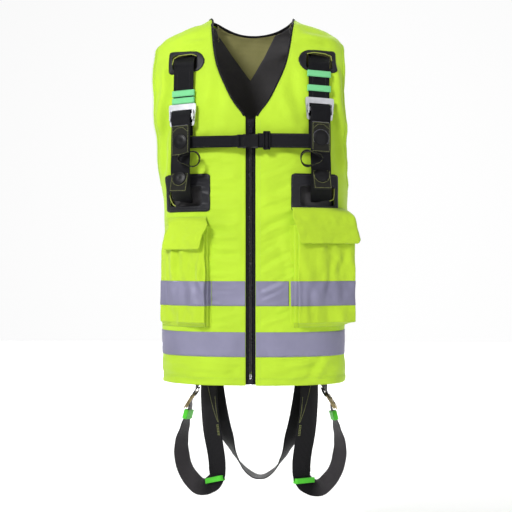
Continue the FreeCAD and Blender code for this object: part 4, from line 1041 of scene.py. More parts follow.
def make_patches():
    """Black reinforcements with a hole for the harness, double stitched."""
    for kind, patch in FRONT_PATCHES.items():
        for side, name in SIDES.items():
            zs = patch["z"]
            xs = sorted(side * x for x in patch["x"])
            hole_x = sorted(side * x for x in patch["hole_x"])

            def inside(x, z, xs=xs, zs=zs, hole_x=hole_x, patch=patch, side=side):
                outline = -rect_distance(x, z, xs, zs, patch["corner"])
                if patch is SHOULDER_PATCH:
                    body = -rect_distance(side * x, z, (120, patch["x"][1]), zs, 6.0)
                    outline = np.maximum(body, 22.6 - np.hypot(side * x - 119, z - 661))
                return np.minimum(outline, rect_distance(x, z, hole_x, patch["hole_z"], 5.0))

            made = flat_sheet(f"{kind}_patch_{name}", xs, widened(zs, 1), inside, 1.7, 0.3, "patch", step=2.0,
                              slot="black_patch")
            if patch is CHEST_PATCH:
                stitch_rect(widened(xs, -3), widened(zs, -3), patch["corner"], 1.8, **PATCH_STITCHES)
            stitch_rect(widened(hole_x, 2.6), widened(patch["hole_z"], 2.6), 5.0, 1.8, **PATCH_STITCHES)
    for side, name in SIDES.items():
        # the turned cloth edges at the slits, in a colour of painted shade
        for kind, places in HOLE_EDGES[side].items():
            outline = even(np.array(places, float), 2.0)
            x, z = outline[:, 0], outline[:, 1]
            path = front_skin(x, z, 1.9)
            normal = form_normal(angle_at(x, z), z)
            across = unit(np.cross(normal, unit(np.gradient(path, axis=0))))
            points, faces, uv = sweep(path, across, normal, ring_profile(0.95, 0.6, 0.5, 3))
            make_piece(f"{kind}_shaded_slit_edge_{name}", points, faces, "slit", "vest", "yellow_binding", uv)
    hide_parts("chest_patches")
    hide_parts("shoulder_patches")
    xs, zs, hole_x, hole_z = (BACK_PATCH[k] for k in ("x", "z", "hole_x", "hole_z"))

    def inside_back(x, z):
        return np.minimum(-rect_distance(x, z, xs, zs, BACK_PATCH["corner"]),
                          rect_distance(x, z, hole_x, hole_z, 5.0))

    flat_sheet("dorsal_patch_cloth", xs, zs, inside_back, 1.7, 0.3, "patch", back=True, slot="black_patch",
               nodes=("dorsal_patch",))
    stitch_rect(widened(xs, -3), widened(zs, -3), 11, 1.8, back=True, thread="black_thread")
    stitch_rect(widened(hole_x, 3), widened(hole_z, 3), 5, 1.8, back=True, thread="black_thread")


# ---------------------------------------------------------------- inside of the vest
def lining_place(gap):
    """Places on the lining: deep inside the shell, and rising to it at the bound edges."""
    def place(angle, z, off):
        near = smoothstep(gap(angle, z, 0.0), 4, 52)
        ripple = 0.9 * noise3(form(angle, z), 40, 21)
        return skin(angle, z, off - 2.1 - (LINING_DEPTH - 2.1 - ripple) * near)
    return place


def facing_gap(angle, z):
    """Inside the black facing of the back, which leaves a lopsided V of mesh open below the neckline."""
    x = form(angle, z)[..., 0]
    rise = z - 661.0
    return np.maximum(-20 - 0.72 * rise - x, x + 6 - 0.6 * rise)


def make_lining():
    """Mesh lining, the black facing inside the back, and black backing behind each hole."""
    def inside_back(angle, z):
        return back_gap(angle, z, BINDING - 2)

    place = lining_place(back_gap)
    cloth_sheet("lining_mesh_back", (91.5, 268.5), (6, LINING_TOP), inside_back, 0.0, -0.7, "mesh",
                step=6.0, place=place, slot="mesh_lining", nodes=("lining_back",))

    def inside_facing(angle, z):
        return np.minimum(np.minimum(facing_gap(angle, z), back_gap(angle, z, BINDING - 1)), z - 520)

    cloth_sheet("facing_back", (91.5, 268.5), (515, LINING_TOP), inside_facing, -1.2, -2.3, "facing",
                place=place, slot="black_binding")

    def inside_front(angle, z):
        return front_gap(angle, z, BINDING - 2, 20.0)

    place_front = lining_place(front_gap)
    first = None
    for side, name in SIDES.items():
        panel = cloth_sheet(f"lining_mesh_{name}", (side * 5, side * 88.5), (6, LINING_TOP), inside_front,
                            0.0, -0.7, "mesh", step=6.0, place=place_front, slot="mesh_lining")
        first = first or panel
        for kind, patch in FRONT_PATCHES.items():
            xs = sorted(side * x for x in widened(patch["hole_x"], 8))
            zs = widened(patch["hole_z"], 8)

            def inside(x, z, xs=xs, zs=zs):
                return -rect_distance(x, z, xs, zs, 6.0)

            flat_sheet(f"{kind}_backing_{name}", xs, zs, inside, -11.6, -12.6, "facing", step=3.0,
                       slot="black_binding")
    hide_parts("lining_front")


BACK_WEB_OFF = {1: -6.4, -1: -8.8}
BACK_ROUTE = ((118, 700), (130, 686), (146, 660), (163, 628), (180, 596), (198, 545), (214, 470), (224, 380),
              (229, 280), (231, 160), (232, 30))
FRONT_ROUTE = ((52, 344), (50, 300), (46, 220), (41, 130), (36, 30))


def inside_web(name, route, off, **piece):
    """Webbing inside the shell along (angle, z) pairs."""
    stations = []
    for i, (angle, z) in enumerate(route):
        a, b = route[max(i - 1, 0)], route[min(i + 1, len(route) - 1)]
        here = form(angle, z) + form_normal(angle, z) * off
        ahead = form(angle + (b[0] - a[0]) * 0.1, z + (b[1] - a[1]) * 0.1) - form(angle, z)
        stations.append((here, unit(np.cross(form_normal(angle, z), ahead))))
    return webbing(name, stations, WEB, "web", **piece)


def make_inner_webs():
    """Harness webbing that crosses on the back and runs down inside each front."""
    for side, name in SIDES.items():
        turn = 0 if side > 0 else 360
        route = [(turn + side * a, z) for a, z in BACK_ROUTE]
        inside_web(f"back_web_{name}", route, BACK_WEB_OFF[side], nodes=("back_webs",) if side > 0 else ())
        route = [(side * a, z) for a, z in FRONT_ROUTE]
        inside_web(f"front_web_{name}", route, -8.0, nodes=("front_webs",) if side > 0 else ())


# ---------------------------------------------------------------- zip
def make_zip():
    """The zip's woven tapes and its two rows of interlocked teeth."""
    profile = [(-7.5, -0.45), (7.5, -0.45), (7.5, 0.45), (-5.6, 0.45), (-6.0, 1.2), (-7.0, 1.2), (-7.5, 0.45)]
    z = np.linspace(2, 541, 80)
    for side, name in SIDES.items():
        path = np.stack([np.full(80, side * 9.5), np.full(80, ZIP_FACE + 0.45), z], axis=1)
        across = np.tile([float(side), 0, 0], (80, 1))
        face = np.tile([0, -1.0, 0], (80, 1))
        section = profile if side < 0 else profile[::-1]
        points, faces, uv = sweep(path, across, face, section)
        make_piece(f"zip_band_{name}", points, faces, "binding", "vest", "black_binding", uv,
                   nodes=(f"zip_tape_{name}",), smooth=False)
    pitch = 1.7
    rows = np.arange(14.5, 536.5, pitch)
    y = ZIP_FACE - 1.5
    teeth = []
    for side in SIDES:
        level = rows + (0.0 if side > 0 else pitch / 2)
        start = np.stack([np.full(len(level), side * 3.9), np.full(len(level), y + 0.5), level], axis=1)
        end = np.stack([np.full(len(level), -side * 0.7), np.full(len(level), y), level], axis=1)
        teeth.append(capsules(start, end, np.tile([0, -1.0, 0], (len(level), 1)), 0.62))
    make_piece("zip_coils", *merged(teeth), "zip", "vest", "black_plastic", nodes=("zip_teeth",))
    for side in SIDES:
        rail = np.stack([np.full(80, side * 5.2), np.full(80, ZIP_FACE - 0.6), z], axis=1)
        stitch(rail, (0, -1.0, 0), thread="black_thread", pitch=3.0, radius=0.3)


# ---------------------------------------------------------------- pockets
def soften(poly, times=2):
    """Corner cutting of polylines held as (..., points, 3)."""
    for _ in range(times):
        a = poly[..., :-1, :] * 0.75 + poly[..., 1:, :] * 0.25
        b = poly[..., :-1, :] * 0.25 + poly[..., 1:, :] * 0.75
        middle = np.stack([a, b], axis=-2).reshape(*a.shape[:-2], -1, 3)
        poly = np.concatenate([poly[..., :1, :], middle, poly[..., -1:, :]], axis=-2)
    return poly


def evened(rows, count):
    """Each polyline again with the same number of evenly spaced places."""
    made = []
    for row in rows:
        along = run_along(row)
        made.append(sampled(np.linspace(0, along[-1], count), along, row))
    return np.array(made)


def grid_normal(grid, flip=False):
    """Outward normals of a grid whose columns run round the object and whose rows run up."""
    return unit(np.cross(np.gradient(grid, axis=1), np.gradient(grid, axis=0))) * (-1 if flip else 1)


def grid_run(grid, axis):
    """The length from a grid's first row or column to each of its points."""
    steps = np.linalg.norm(np.diff(grid, axis=axis), axis=2)
    return np.insert(np.cumsum(steps, axis=axis), 0, 0.0, axis=axis)


def thick_grid(name, grid, thick, look, body, flip=False, **piece):
    """Cloth through a grid of points (rows, columns, 3), thickened to its inner side."""
    normal = grid_normal(grid, flip)
    rows, cols = grid.shape[:2]
    edge = np.zeros((rows, cols), bool)
    edge[[0, -1], :] = True
    edge[:, [0, -1]] = True
    outer = grid - normal * np.where(edge, 0.3 * thick, 0)[..., None]
    inner = grid - normal * np.where(edge, 0.7 * thick, thick)[..., None]
    number = np.arange(rows * cols).reshape(rows, cols)
    corners = [number[:-1, :-1], number[:-1, 1:], number[1:, 1:], number[1:, :-1]]
    cells = np.stack(corners, axis=2).reshape(-1, 4)
    if flip:
        cells = cells[:, ::-1]
    loop = np.concatenate([number[0, :-1], number[:-1, -1], number[-1, :0:-1], number[:0:-1, 0]])
    n = rows * cols
    rim = np.stack([loop, np.roll(loop, -1), np.roll(loop, -1) + n, loop + n], axis=1)
    if not flip:
        rim = rim[:, ::-1]
    faces = cells.tolist() + (cells[:, ::-1] + n).tolist() + rim.tolist()
    uv = np.stack([grid_run(grid, 1), grid_run(grid, 0)], axis=2).reshape(-1, 2) * MM
    points = np.concatenate([outer.reshape(-1, 3), inner.reshape(-1, 3)])
    return make_sheet(name, points, faces, look, body, uv, **piece)


def pocket_frame(side):
    """The inner end of a pocket's face, the directions along and out of it, and its length."""
    (ax, ay), (bx, by), _ = POCKET_PLAN[side]
    inner = np.array([side * ax, -ay, 0.0])
    along = np.array([side * (bx - ax), ay - by, 0.0])
    length = np.linalg.norm(along)
    along /= length
    return inner, along, np.array([along[1], -along[0], 0.0]) * side, length


POCKET_FACE_LOW, POCKET_BASE = 127.0, 117.0
FACE_FOLD = {1: 0.0, -1: 26.0}      # how far before the outer corner the right face bends back
CRUMPLES = {1: (1.0, 0.5), -1: (1.4, 1.0)}      # the right pocket is the emptier and more crumpled


POCKET_COLUMNS = 110


def pocket_rows(side, zs, grow=0.0):
    """Outlines of a pocket at heights: from the vest round its pleated sides and bulged face."""
    zs = np.asarray(zs, float)
    inner, along, out, length = pocket_frame(side)
    up = np.zeros((len(zs), 3))
    up[:, 2] = zs
    far = POCKET_PLAN[side][2][0] - 4
    back_in = front_skin(np.full(len(zs), side * POCKET_X), zs, 0.3)
    back_out = front_skin(np.full(len(zs), side * float(far)), zs, 0.3)
    flare = 3.0 * smoothstep(zs, 200, 120)[:, None]
    face_in = inner + up
    fold_back = FACE_FOLD[side]
    bend = inner + up + along * (length - fold_back)
    face_out = inner + up + along * (length + flare * 0.6) - out * (8.0 if fold_back else 0.0)
    if fold_back:
        near = 0.85 * smoothstep(zs, 262, 326)[:, None]
        face_out = face_out * (1 - near) + front_skin(np.full(len(zs), side * (far - 9.0)), zs, 2.0) * near
    pleats = [back_in * (1 - t) + face_in * t + along * shift
              for t, shift in ((0.22, 8.0), (0.45, -1.0), (0.7, 9.0))]
    pinch_out = back_out * 0.45 + face_out * 0.55 - along * 8.0
    keys = [back_in, *pleats, face_in - along * 0.2 - out * 3, face_in, face_in + along * 3.5,
            inner + up + along * length * 0.33, inner + up + along * length * 0.66, bend - along * 3, bend,
            face_out - along * 4 + out * 0.4, face_out, face_out - out * 4, pinch_out, back_out]
    if not fold_back:
        del keys[9:11]
    rows = evened(soften(np.stack(keys, axis=1), 3), POCKET_COLUMNS)
    share = np.clip(((rows - inner) @ along) / length, 0, 1)
    facing = smoothstep((rows - inner) @ out, -4, -0.5)
    full = 1 - smoothstep(zs, 292, 322)[:, None]
    puff = 3.2 * np.sin(np.pi * share) ** 0.7 * full
    crumple = 2.3 * noise3(rows * (1, 1, 0.42), 26, 31) + 1.3 * noise3(rows * (1, 1, 0.6), 12, 37)
    stripes = np.sin(share * 21 + (rows[..., 2] - 240) / 46 * side + 3.4 * noise3(rows / 44, 1.0, 33))
    stripes = stripes * (0.35 + 0.65 * smoothstep(rows[..., 2], 150, 250))
    calm, slack = CRUMPLES[side]
    deep = calm + slack * smoothstep(-zs, -272, -236)[:, None]
    lift = facing * (puff + full * deep * (crumple + 1.3 * stripes)) + (1 - facing) * 0.6 * crumple + grow
    return rows + out * lift[..., None]


def make_pockets():
    """Bellows pockets with their tape, and flaps that hang from the vest over them."""
    for side, name in SIDES.items():
        inner, along, out, _ = pocket_frame(side)
        zs = span(POCKET_FACE_LOW + 2.5, POCKET_TOP, 4.5)
        wall = pocket_rows(side, zs)
        low = pocket_rows(side, [POCKET_FACE_LOW])[0]
        x = np.clip(side * low[:, 0], POCKET_X, POCKET_PLAN[side][2][0] - 4.0) * side
        base = front_skin(x, np.full(len(x), POCKET_BASE), 0.3)
        rows = []
        for t in (0.0, 0.25, 0.5, 0.72, 0.88, 0.96, 1.0):
            row = base + (low - base) * t
            rise = (POCKET_FACE_LOW - POCKET_BASE) * (t ** 0.8)
            row[:, 2] = POCKET_BASE + rise + 1.2 * math.sin(math.pi * t)
            rows.append(row)
        grid = np.concatenate([np.array(rows), wall])
        flip = side < 0
        thick_grid(f"pocket_bag_{name}", grid, 1.1, "hi_vis_pocket", "vest", flip=flip, slot="hi_vis_cloth",
                   nodes=(f"pocket_{name}",))
        band = pocket_rows(side, span(UPPER_TAPE_Z, UPPER_TAPE_Z + TAPE_HEIGHT, 3.5))[:, 1:-1]
        band = band + grid_normal(band, flip) * 0.7
        thick_grid(f"pocket_tape_{name}", band, 0.5, "tape", "vest", flip=flip, slot="reflective_tape",
                   nodes=("pocket_tapes",) if side > 0 else ())
        for level in tape_seams(UPPER_TAPE_Z):
            stitch(pocket_rows(side, [level], grow=0.8)[0][5:-4], out, thread="grey_thread")
        for level in (POCKET_TOP - 14, POCKET_TOP - 16.6):
            stitch(pocket_rows(side, [level], grow=0.15)[0][16:-12], out)
        levels = span(POCKET_FACE_LOW + 8, POCKET_TOP - 4, 5)
        edge = pocket_rows(side, levels, grow=0.15)
        first = int(np.argmax(((edge[0] - inner) @ along) > 3.2))
        stitch(edge[:, first], out)
        make_flap(side, name)


def make_flap(side, name):
    """One flap: sewn to the vest, over a soft fold, and down in front of the pocket."""
    inner, along, out, length = pocket_frame(side)
    top, bottom = FLAP_TOP[side], FLAP_BOTTOM[side]
    reach_in, reach_out = (-7.0, length + 3.5) if side > 0 else (-3.0, length - 22.0)
    cols, rows = 44, 34
    s = np.linspace(0, 1, cols)
    corner = 8.0
    edge = np.minimum(s, 1 - s) * (reach_out - reach_in)
    lower = bottom + corner - np.sqrt(np.maximum(corner ** 2 - np.maximum(corner - edge, 0) ** 2, 0))
    start_x = POCKET_X + 4 + s * (POCKET_PLAN[side][2][0] - 5 - POCKET_X - 4)
    if side < 0:
        start_x = POCKET_X + 10 + s * (176 - POCKET_X - 10)
    low = 11.0 if side < 0 else 0.0     # the right flap is sewn on lower and lies flatter
    start = front_skin(side * start_x, np.full(cols, top + 15.0 - low), 0.4)

    def on_face(share, lift, z, skew):
        u = reach_in + (reach_out - reach_in) * share + skew
        p = inner + along * u[:, None] + out * np.broadcast_to(lift, u.shape)[:, None]
        p[:, 2] = z
        return p

    fold = on_face(s, 4.6, np.full(cols, top - 3.0 - low), -8.0 * (1 - s) - 9.0 * s)
    chest = (start + fold) / 2 + out * 2.2
    chest[:, 2] = top + 8.0 - low
    middle = on_face(s, 9.0 + 1.4 * np.sin(s * np.pi), (top + lower) / 2, -2.0 - 2.0 * s)
    hem = on_face(s, 9.6 + 2.0 * s ** 2, lower, 5.0 * (1 - s) + 2.0 * s)
    keys = np.stack([start, chest, fold, middle, hem], axis=1)
    grid = np.array([spline(k, rows)[0] for k in keys]).transpose(1, 0, 2)
    ripple = (3.2 * noise3(grid * (1, 1, 0.7), 24, 41) + 1.3 * noise3(grid, 11, 43)) * smoothstep(
        np.linspace(0, 1, rows), 0.1, 0.4)[:, None]
    grid = grid + out * ripple[..., None]
    nodes = (f"pocket_flap_{name}",) + (("flap_yokes",) if side > 0 else ())
    piece = thick_grid(f"flap_{name}", grid[::-1], 1.2, "hi_vis_pocket", None, flip=side < 0,
                       slot="hi_vis_cloth", nodes=nodes)
    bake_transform(piece)


# ---------------------------------------------------------------- front straps
def strap_y(side, z):
    """The y of the front strap line at a height."""
    return STRAP_REF_Y[side] + (z - STRAP_REF) * math.tan(math.radians(STRAP_LEAN))


def strap_axes(side):
    """The directions across, outwards from and up a front strap."""
    a, b = math.radians(STRAP_LEAN), math.radians(STRAP_TURN)
    up = np.array([0, math.sin(a), math.cos(a)])
    across = np.array([math.cos(b), side * math.sin(b), 0])
    across = unit(across - up * across.dot(up))
    return across, -np.cross(up, across), up


def on_strap(side, z, u, out, v):
    """Places from strap coordinates: across the webbing, out from it and up along it."""
    across, outward, up = strap_axes(side)
    u, out, v = np.broadcast_arrays(*(np.asarray(a, float) for a in (u, out, v)))
    origin = np.array([side * STRAP_X, strap_y(side, z), z])
    return origin + across * u[..., None] + outward * out[..., None] + up * v[..., None]


def strap_station(side, z, out=0.0):
    """A station of the webbing in front of the strap line."""
    b = math.radians(STRAP_TURN)
    return (side * (STRAP_X + out * math.sin(b)), strap_y(side, z) - out * math.cos(b), z), \
        (math.cos(b), side * math.sin(b), 0)


STRAP_ENTRY = ((-92.5, 652), (-83, 663), (-69, 673))     # y and z where the strap goes into the shoulder
STRAP_EXIT = ((-121.5, 440), (-116.0, 415), (-105.0, 394), (-92.0, 381), (-84.0, 374))
TAB_FACE = 12.2
TAB_THICK = 1.4
TAB_STITCH_OUT = 1.75


def dome(name, middle, across, outward, up, radius, height, look, body, slot):
    """A domed disc with a rounded rim, a shallow groove inside it and a small centre dimple."""
    profile = ((0, 0.86), (0.12, 0.9), (0.3, 1.0), (0.55, 0.95), (0.74, 0.8), (0.79, 0.68), (0.83, 0.72),
               (0.92, 0.6), (0.98, 0.36), (1.0, 0.05), (0.98, -0.2))
    count = 48
    turn = np.radians(np.arange(count) * 360 / count)
    circle = across * np.cos(turn)[:, None] + up * np.sin(turn)[:, None]
    points = [middle + outward * profile[0][1] * height]
    for share, rise in profile[1:]:
        points.extend(middle + circle * radius * share + outward * rise * height)
    points.append(middle - outward * 0.3 * height)
    faces = [(0, 1 + (j + 1) % count, 1 + j)[::-1] for j in range(count)]
    rings = len(profile) - 1
    for i in range(rings - 1):
        a, b = 1 + i * count, 1 + (i + 1) * count
        faces += [(a + j, b + j, b + (j + 1) % count, a + (j + 1) % count) for j in range(count)]
    a, last = 1 + (rings - 1) * count, len(points) - 1
    faces += [(a + j, last, a + (j + 1) % count) for j in range(count)]
    return make_piece(name, np.array(points), faces, look, body, slot)


def tab_sheet(name, place, half_w, low, high, thick, look, body, corner=3.5, **piece):
    """A soft rectangular tab laid out by place(u, out, v), with a folded thicker edge."""
    def inside(u, v):
        return -rect_distance(u, v, (-half_w, half_w), (low, high), corner)

    u, v, cells, border = trimmed_grid(span(-half_w, half_w, 2.0), span(low, high, 2.0), 1.0, inside)
    edge = inside(u, v)
    swell = 0.45 * np.exp(-(edge / 2.2) ** 2) + 0.2 * noise3(np.stack([u, v, v * 0], axis=1), 12, 51)
    rim = edge < 0.4
    top = place(u, np.where(rim, thick * 0.6, thick + swell), v)
    bottom = place(u, np.where(rim, thick * 0.25, 0.0), v)
    points, faces = joined(top, bottom, cells, border)
    return make_sheet(name, points, faces, look, body, np.stack([u, v], axis=1) * MM, **piece)


def tab_stitch(place, outline, outward, thread="olive_thread", pitch=3.2):
    """A row of stitches on a tab through (u, v) places."""
    outline = even(np.array(outline, float), 1.5)
    path = place(outline[:, 0], np.full(len(outline), TAB_STITCH_OUT), outline[:, 1])
    stitch(path, outward, thread=thread, body="front_harness", pitch=pitch)


def rectangle(half_w, low, high):
    """A closed outline on a tab."""
    return [(-half_w, low), (half_w, low), (half_w, high), (-half_w, high), (-half_w, low)]


def arc(radius, start, end):
    """Part of a circle on a tab, in degrees."""
    turn = np.radians(np.arange(start, end + 1, 6.0))
    return np.stack([radius * np.cos(turn), radius * np.sin(turn)], axis=1)


def make_straps():
    """Shoulder and front webbing with keepers, tabs, discs and the loops at the breastbone."""
    for side, name in SIDES.items():
        shift = STRAP_REF_Y[side] - STRAP_REF_Y[1]
        across, outward, up = strap_axes(side)
        wide = (math.cos(math.radians(STRAP_TURN)), side * math.sin(math.radians(STRAP_TURN)), 0)
        low = [strap_station(side, z) for z in (505, 545, 585, 620, 638)]
        entry = [((side * STRAP_X, y + shift, z), wide) for y, z in STRAP_ENTRY]
        webbing(f"shoulder_web_{name}", low + entry, WEB, "web", nodes=(f"shoulder_strap_{name}",))
        for x in (-14, 14):
            run = np.linspace(516, 640, 40)
            path = np.array([strap_station(side, z)[0] for z in run]) + across * x + outward * 1.05
            stitch(path, outward, thread="black_thread", pitch=4.4, radius=0.3)

        top = FRAME_TOP[side]
        stations = [(tuple(on_strap(side, top, 0, out, v)), wide)
                    for v, out in ((-36, 2.4), (-22, 2.6), (-15, 5.6))]
        stations += [strap_station(side, z, FRONT_WEB_OUT) for z in (top - 18, top - 44, 510, 480, 462)]
        deep, high = STRAP_EXIT[-1][1], STRAP_EXIT[0][1]
        stations += [((side * 142.0, y + shift * (z - deep) / (high - deep), z), wide) for y, z in STRAP_EXIT]
        strap = webbing(f"front_web_strap_{name}", stations, WEB - 2, "web", nodes=(f"front_strap_{name}",))
        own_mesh(strap)

        for z, label in zip(KEEPER_Z[side], ("upper", "lower")):
            middle = on_strap(side, z, 0, 0, 0)
            body = f"{label}_keeper_{name}"
            elastic_band(f"{label}_elastic_{name}", middle, across, outward, up, 24.6, 2.8, 12.8, "mint",
                         body, "mint_elastic", (body,))
            for v in (-4.8, 4.8):
                run = np.linspace(-22.5, 22.5, 12)
                stitch(on_strap(side, z, run, 3.05, v), outward, thread="mint_thread", body=body, pitch=3.0,
                       radius=0.26)

        make_tabs(side, name)
        make_loop(side, name)


def make_tabs(side, name):
    """Tabs that hold the loop's ends, each stitched round and with a domed rubber disc."""
    across, outward, up = strap_axes(side)
    z = UPPER_DISC_Z[side]

    def upper(u, out, v):
        return on_strap(side, z, u, np.asarray(out) + TAB_FACE - TAB_THICK, v)

    tab_sheet(f"upper_tab_{name}", upper, 20.0, -30.0, 34.0, TAB_THICK, "tab", "front_harness",
              slot="black_webbing", nodes=(f"strap_tabs_{name}",))
    dome(f"upper_disc_{name}", upper(0, TAB_THICK, 0), across, outward, up, 15.5, 2.5, "disc",
         "front_harness", "black_plastic")
    tab_stitch(upper, rectangle(17.4, -27, 31.4), outward, pitch=3.4)
    tab_stitch(upper, [(-18.6, 32.6), (18.6, 32.6)], outward, thread="grey_thread", pitch=3.0)
    if side > 0:
        tab_stitch(upper, arc(17.2, -40, 220), outward, thread="grey_thread")
    tab_stitch(upper, [(-16, 20), (-6, 28), (6, 28), (16, 20)], outward)

    shift = STRAP_REF_Y[side] - STRAP_REF_Y[1]
    z = LOWER_DISC_Z[side]
    a, b = math.radians(17), math.radians(side * STRAP_TURN)
    low_across = np.array([math.cos(b), math.sin(b), 0])
    low_up = unit(np.array([-math.sin(a) * math.sin(b), math.sin(a) * math.cos(b), math.cos(a)]))
    low_out = -np.cross(low_up, low_across)
    origin = np.array([side * 143.0, -121.0 + shift - (z - 419) * 0.3, z])

    def lower(u, out, v):
        u, out, v = np.broadcast_arrays(*(np.asarray(q, float) for q in (u, out, v)))
        return origin + low_across * u[..., None] + low_out * out[..., None] + low_up * v[..., None]

    tab_sheet(f"lower_tab_{name}", lower, 19.5, -30.0, 20.0, TAB_THICK, "tab", "front_harness", corner=4.0,
              slot="black_webbing")
    dome(f"lower_disc_{name}", lower(0, TAB_THICK, 0), low_across, low_out, low_up, 14.2, 2.4, "disc",
         "front_harness", "black_plastic")
    tab_stitch(lower, rectangle(17.0, -27, 17.6), low_out, pitch=3.4)
    tab_stitch(lower, arc(16.2, 180, 360), low_out)
    tab_stitch(lower, [(-15, 8), (-6, 16.4), (6, 16.4), (15, 8)], low_out)


def make_loop(side, name):
    """The sewn webbing loop between the tabs: a D that points at the breastbone, open to the front."""
    shift = STRAP_REF_Y[side] - STRAP_REF_Y[1]
    turn = math.radians(side * 8.0)
    reach = ((4, 0), (0, 6.5), (-9, 9.6), (-20, 14), (-31, 13.5), (-37.5, 6), (-38, -4), (-32, -13),
             (-20, -14.5), (-9, -9.6), (0, -6.5))
    keys = np.array([(u, 0, v) for u, v in reach + reach[:1]], float)
    ring, _, _ = spline(keys, 72)
    ring = ring[:-1]
    along = np.array([side * math.cos(turn), math.sin(turn), 0])
    deep = np.array([-math.sin(turn), math.cos(turn), 0])
    root = np.array([side * 140.0, -136.5 + shift, 457.0])
    path = root + along * ring[:, :1] + np.array([0, 0, 1.0]) * ring[:, 2:]
    tangent = unit(np.roll(path, -1, axis=0) - np.roll(path, 1, axis=0))
    slant = 0.15 if side < 0 else 0.55
    across = unit(deep + np.array([0, 0, slant]) * smoothstep(-ring[:, :1], 8, 26))
    across = unit(across - tangent * (across * tangent).sum(1, keepdims=True))
    face = np.cross(tangent, across)
    points, faces, uv = sweep(path, across, face, web_profile(11.6, 1.9), closed=True)
    body = f"attachment_loop_{name}"
    make_piece(f"sternal_loop_{name}", points, faces, "web", body, "black_webbing", uv, nodes=(body,))
    outward = np.sign((path - path.mean(axis=0)) * face).sum(1, keepdims=True)
    lift = face * np.where(outward < 0, -1.0, 1.0)
    for v in (-4.2, 4.2):
        stitch(path + across * v + lift, lift, thread="olive_thread", body=body, pitch=3.2, radius=0.26)


def chest_y(x):
    """The y of the chest strap, bowed out over the chest."""
    return CHEST_BOW + 13.0 * (abs(x) / 116.0) ** 2


def make_chest_strap():
    """The two halves of the chest strap."""
    xs = [15.0, 24, 41, 60, 80, 96, 112, 125]
    stations = [((x, chest_y(x) - 0.2, CHEST_Z + 1.5), (0, 0, 1)) for x in xs]
    webbing("chest_web_left", stations, CHEST_WEB[1], "chest_web", "front_harness", 1.8, 50,
            nodes=("chest_strap_left",))
    xs = [-36, -44, -62, -80, -96, -112, -125]
    stations = [((x, CHEST_BOW - off, CHEST_Z), (0, 0, 1))
                for x, off in ((-19.3, 0.6), (-21.4, 4.4), (-27.0, 4.6))]
    stations += [((x, chest_y(x), CHEST_Z), (0, 0, 1)) for x in xs]
    strap = webbing("chest_web_right", stations, CHEST_WEB[-1], "chest_web", "front_harness", 1.8, 50,
                    nodes=("chest_strap_right",))
    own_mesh(strap)
    for side, start in ((1, 43), (-1, 84)):
        half = CHEST_WEB[side] / 2 - 2.6
        run = np.linspace(side * start, side * 124, 40)
        for v in (-half, half):
            level = np.full(40, CHEST_Z + 1.5 * (side > 0) + v)
            path = np.stack([run, [chest_y(x) - 1.15 for x in run], level], axis=1)
            stitch(path, (0, -1.0, 0), thread="black_thread", body="front_harness", pitch=3.4, radius=0.28)


# ---------------------------------------------------------------- leg straps
BUCKLE_TILT = math.radians(31)
BUCKLE_CENTRE = (148.0, 14.0, -45.0)


def at_buckle(x, y, z):
    """A point of the left leg's routes from buckle coordinates: out of the thigh, back and up."""
    cx, cy, cz = BUCKLE_CENTRE
    return (cx + x * math.cos(BUCKLE_TILT) - z * math.sin(BUCKLE_TILT), cy + y,
            cz + x * math.sin(BUCKLE_TILT) + z * math.cos(BUCKLE_TILT))


SEAT_ROUTE = (
    ((94, -42, 12), (0.80, 0.60, 0)), ((85, -43, -50), (0.80, 0.55, 0.20)),
    ((71, -39, -105), (0.72, 0.50, 0.45)), ((52, -32, -154), (0.50, 0.70, 0.50)),
    ((28, -22, -189), (0.20, 0.95, 0.20)),
)
SEAT_MIDDLE = ((0, -17, -203), (0, 1, 0))
THIGH_ROUTE = (
    ((104, -56, 12), (0.80, 0.60, 0)), ((103, -57, -50), (0.82, 0.57, 0)),
    ((96, -56, -110), (0.88, 0.47, 0)), ((89, -52, -155), (0.85, 0.52, 0.02)),
    ((88, -47, -186), (0.82, 0.57, 0.06)), ((93, -41, -205), (0.66, 0.66, 0.30)),
    ((105, -34, -217), (0.38, 0.76, 0.52)), ((124, -26, -222), (0.05, 0.78, 0.62)),
    ((145, -16, -208), (-0.35, 0.78, 0.50)),
    ((160, -8, -186), (-0.52, 0.80, 0.28)), ((167, -1, -160), (-0.60, 0.78, 0.08)),
    ((168, 5, -133), (-0.52, 0.85, 0)), ((162, 11, -104), (-0.35, 0.93, 0)),
    ((155.5, 14, -76), (-0.16, 0.985, 0)), (at_buckle(-5.8, 0.5, -15), (-0.08, 1, 0)),
    (at_buckle(-1.2, 0.2, -4.5), (0, 1, 0)), (at_buckle(-0.2, 0, 5), (0, 1, 0)),
)
HIP_ROUTE = (
    ((130, 23, 12), (0.46, 0.89, 0)), ((132, 20, -6), (0.34, 0.94, 0)),
    (at_buckle(4.0, 1.5, 28), (0.14, 0.99, 0)), (at_buckle(3.4, 0.3, 18.5), (0, 1, 0)),
    (at_buckle(2.8, 0, 14.9), (0, 1, 0)), (at_buckle(0, 0, 13.5), (0, 1, 0)),
    (at_buckle(-2.8, 0, 14.9), (0, 1, 0)), (at_buckle(-3.4, 0, 18.5), (0, 1, 0)),
    (at_buckle(-2.6, 0.5, 25), (0.07, 1, 0)), (at_buckle(0, 1.5, 31), (0.16, 0.99, 0)),
)
# Route station, height and depth of a thigh strap's keepers, and their slant in degrees by side
THIGH_KEEPERS = ((5, 11.0, 6.0, {1: -38.0, -1: -50.0}), (13, 20.0, 4.5, {1: 0.0, -1: 0.0}))


def leg_side(route, side):
    """A route on either leg."""
    return [((LEG_SHIFT + side * p[0], p[1], p[2]), (side * a[0], a[1], a[2])) for p, a in route]


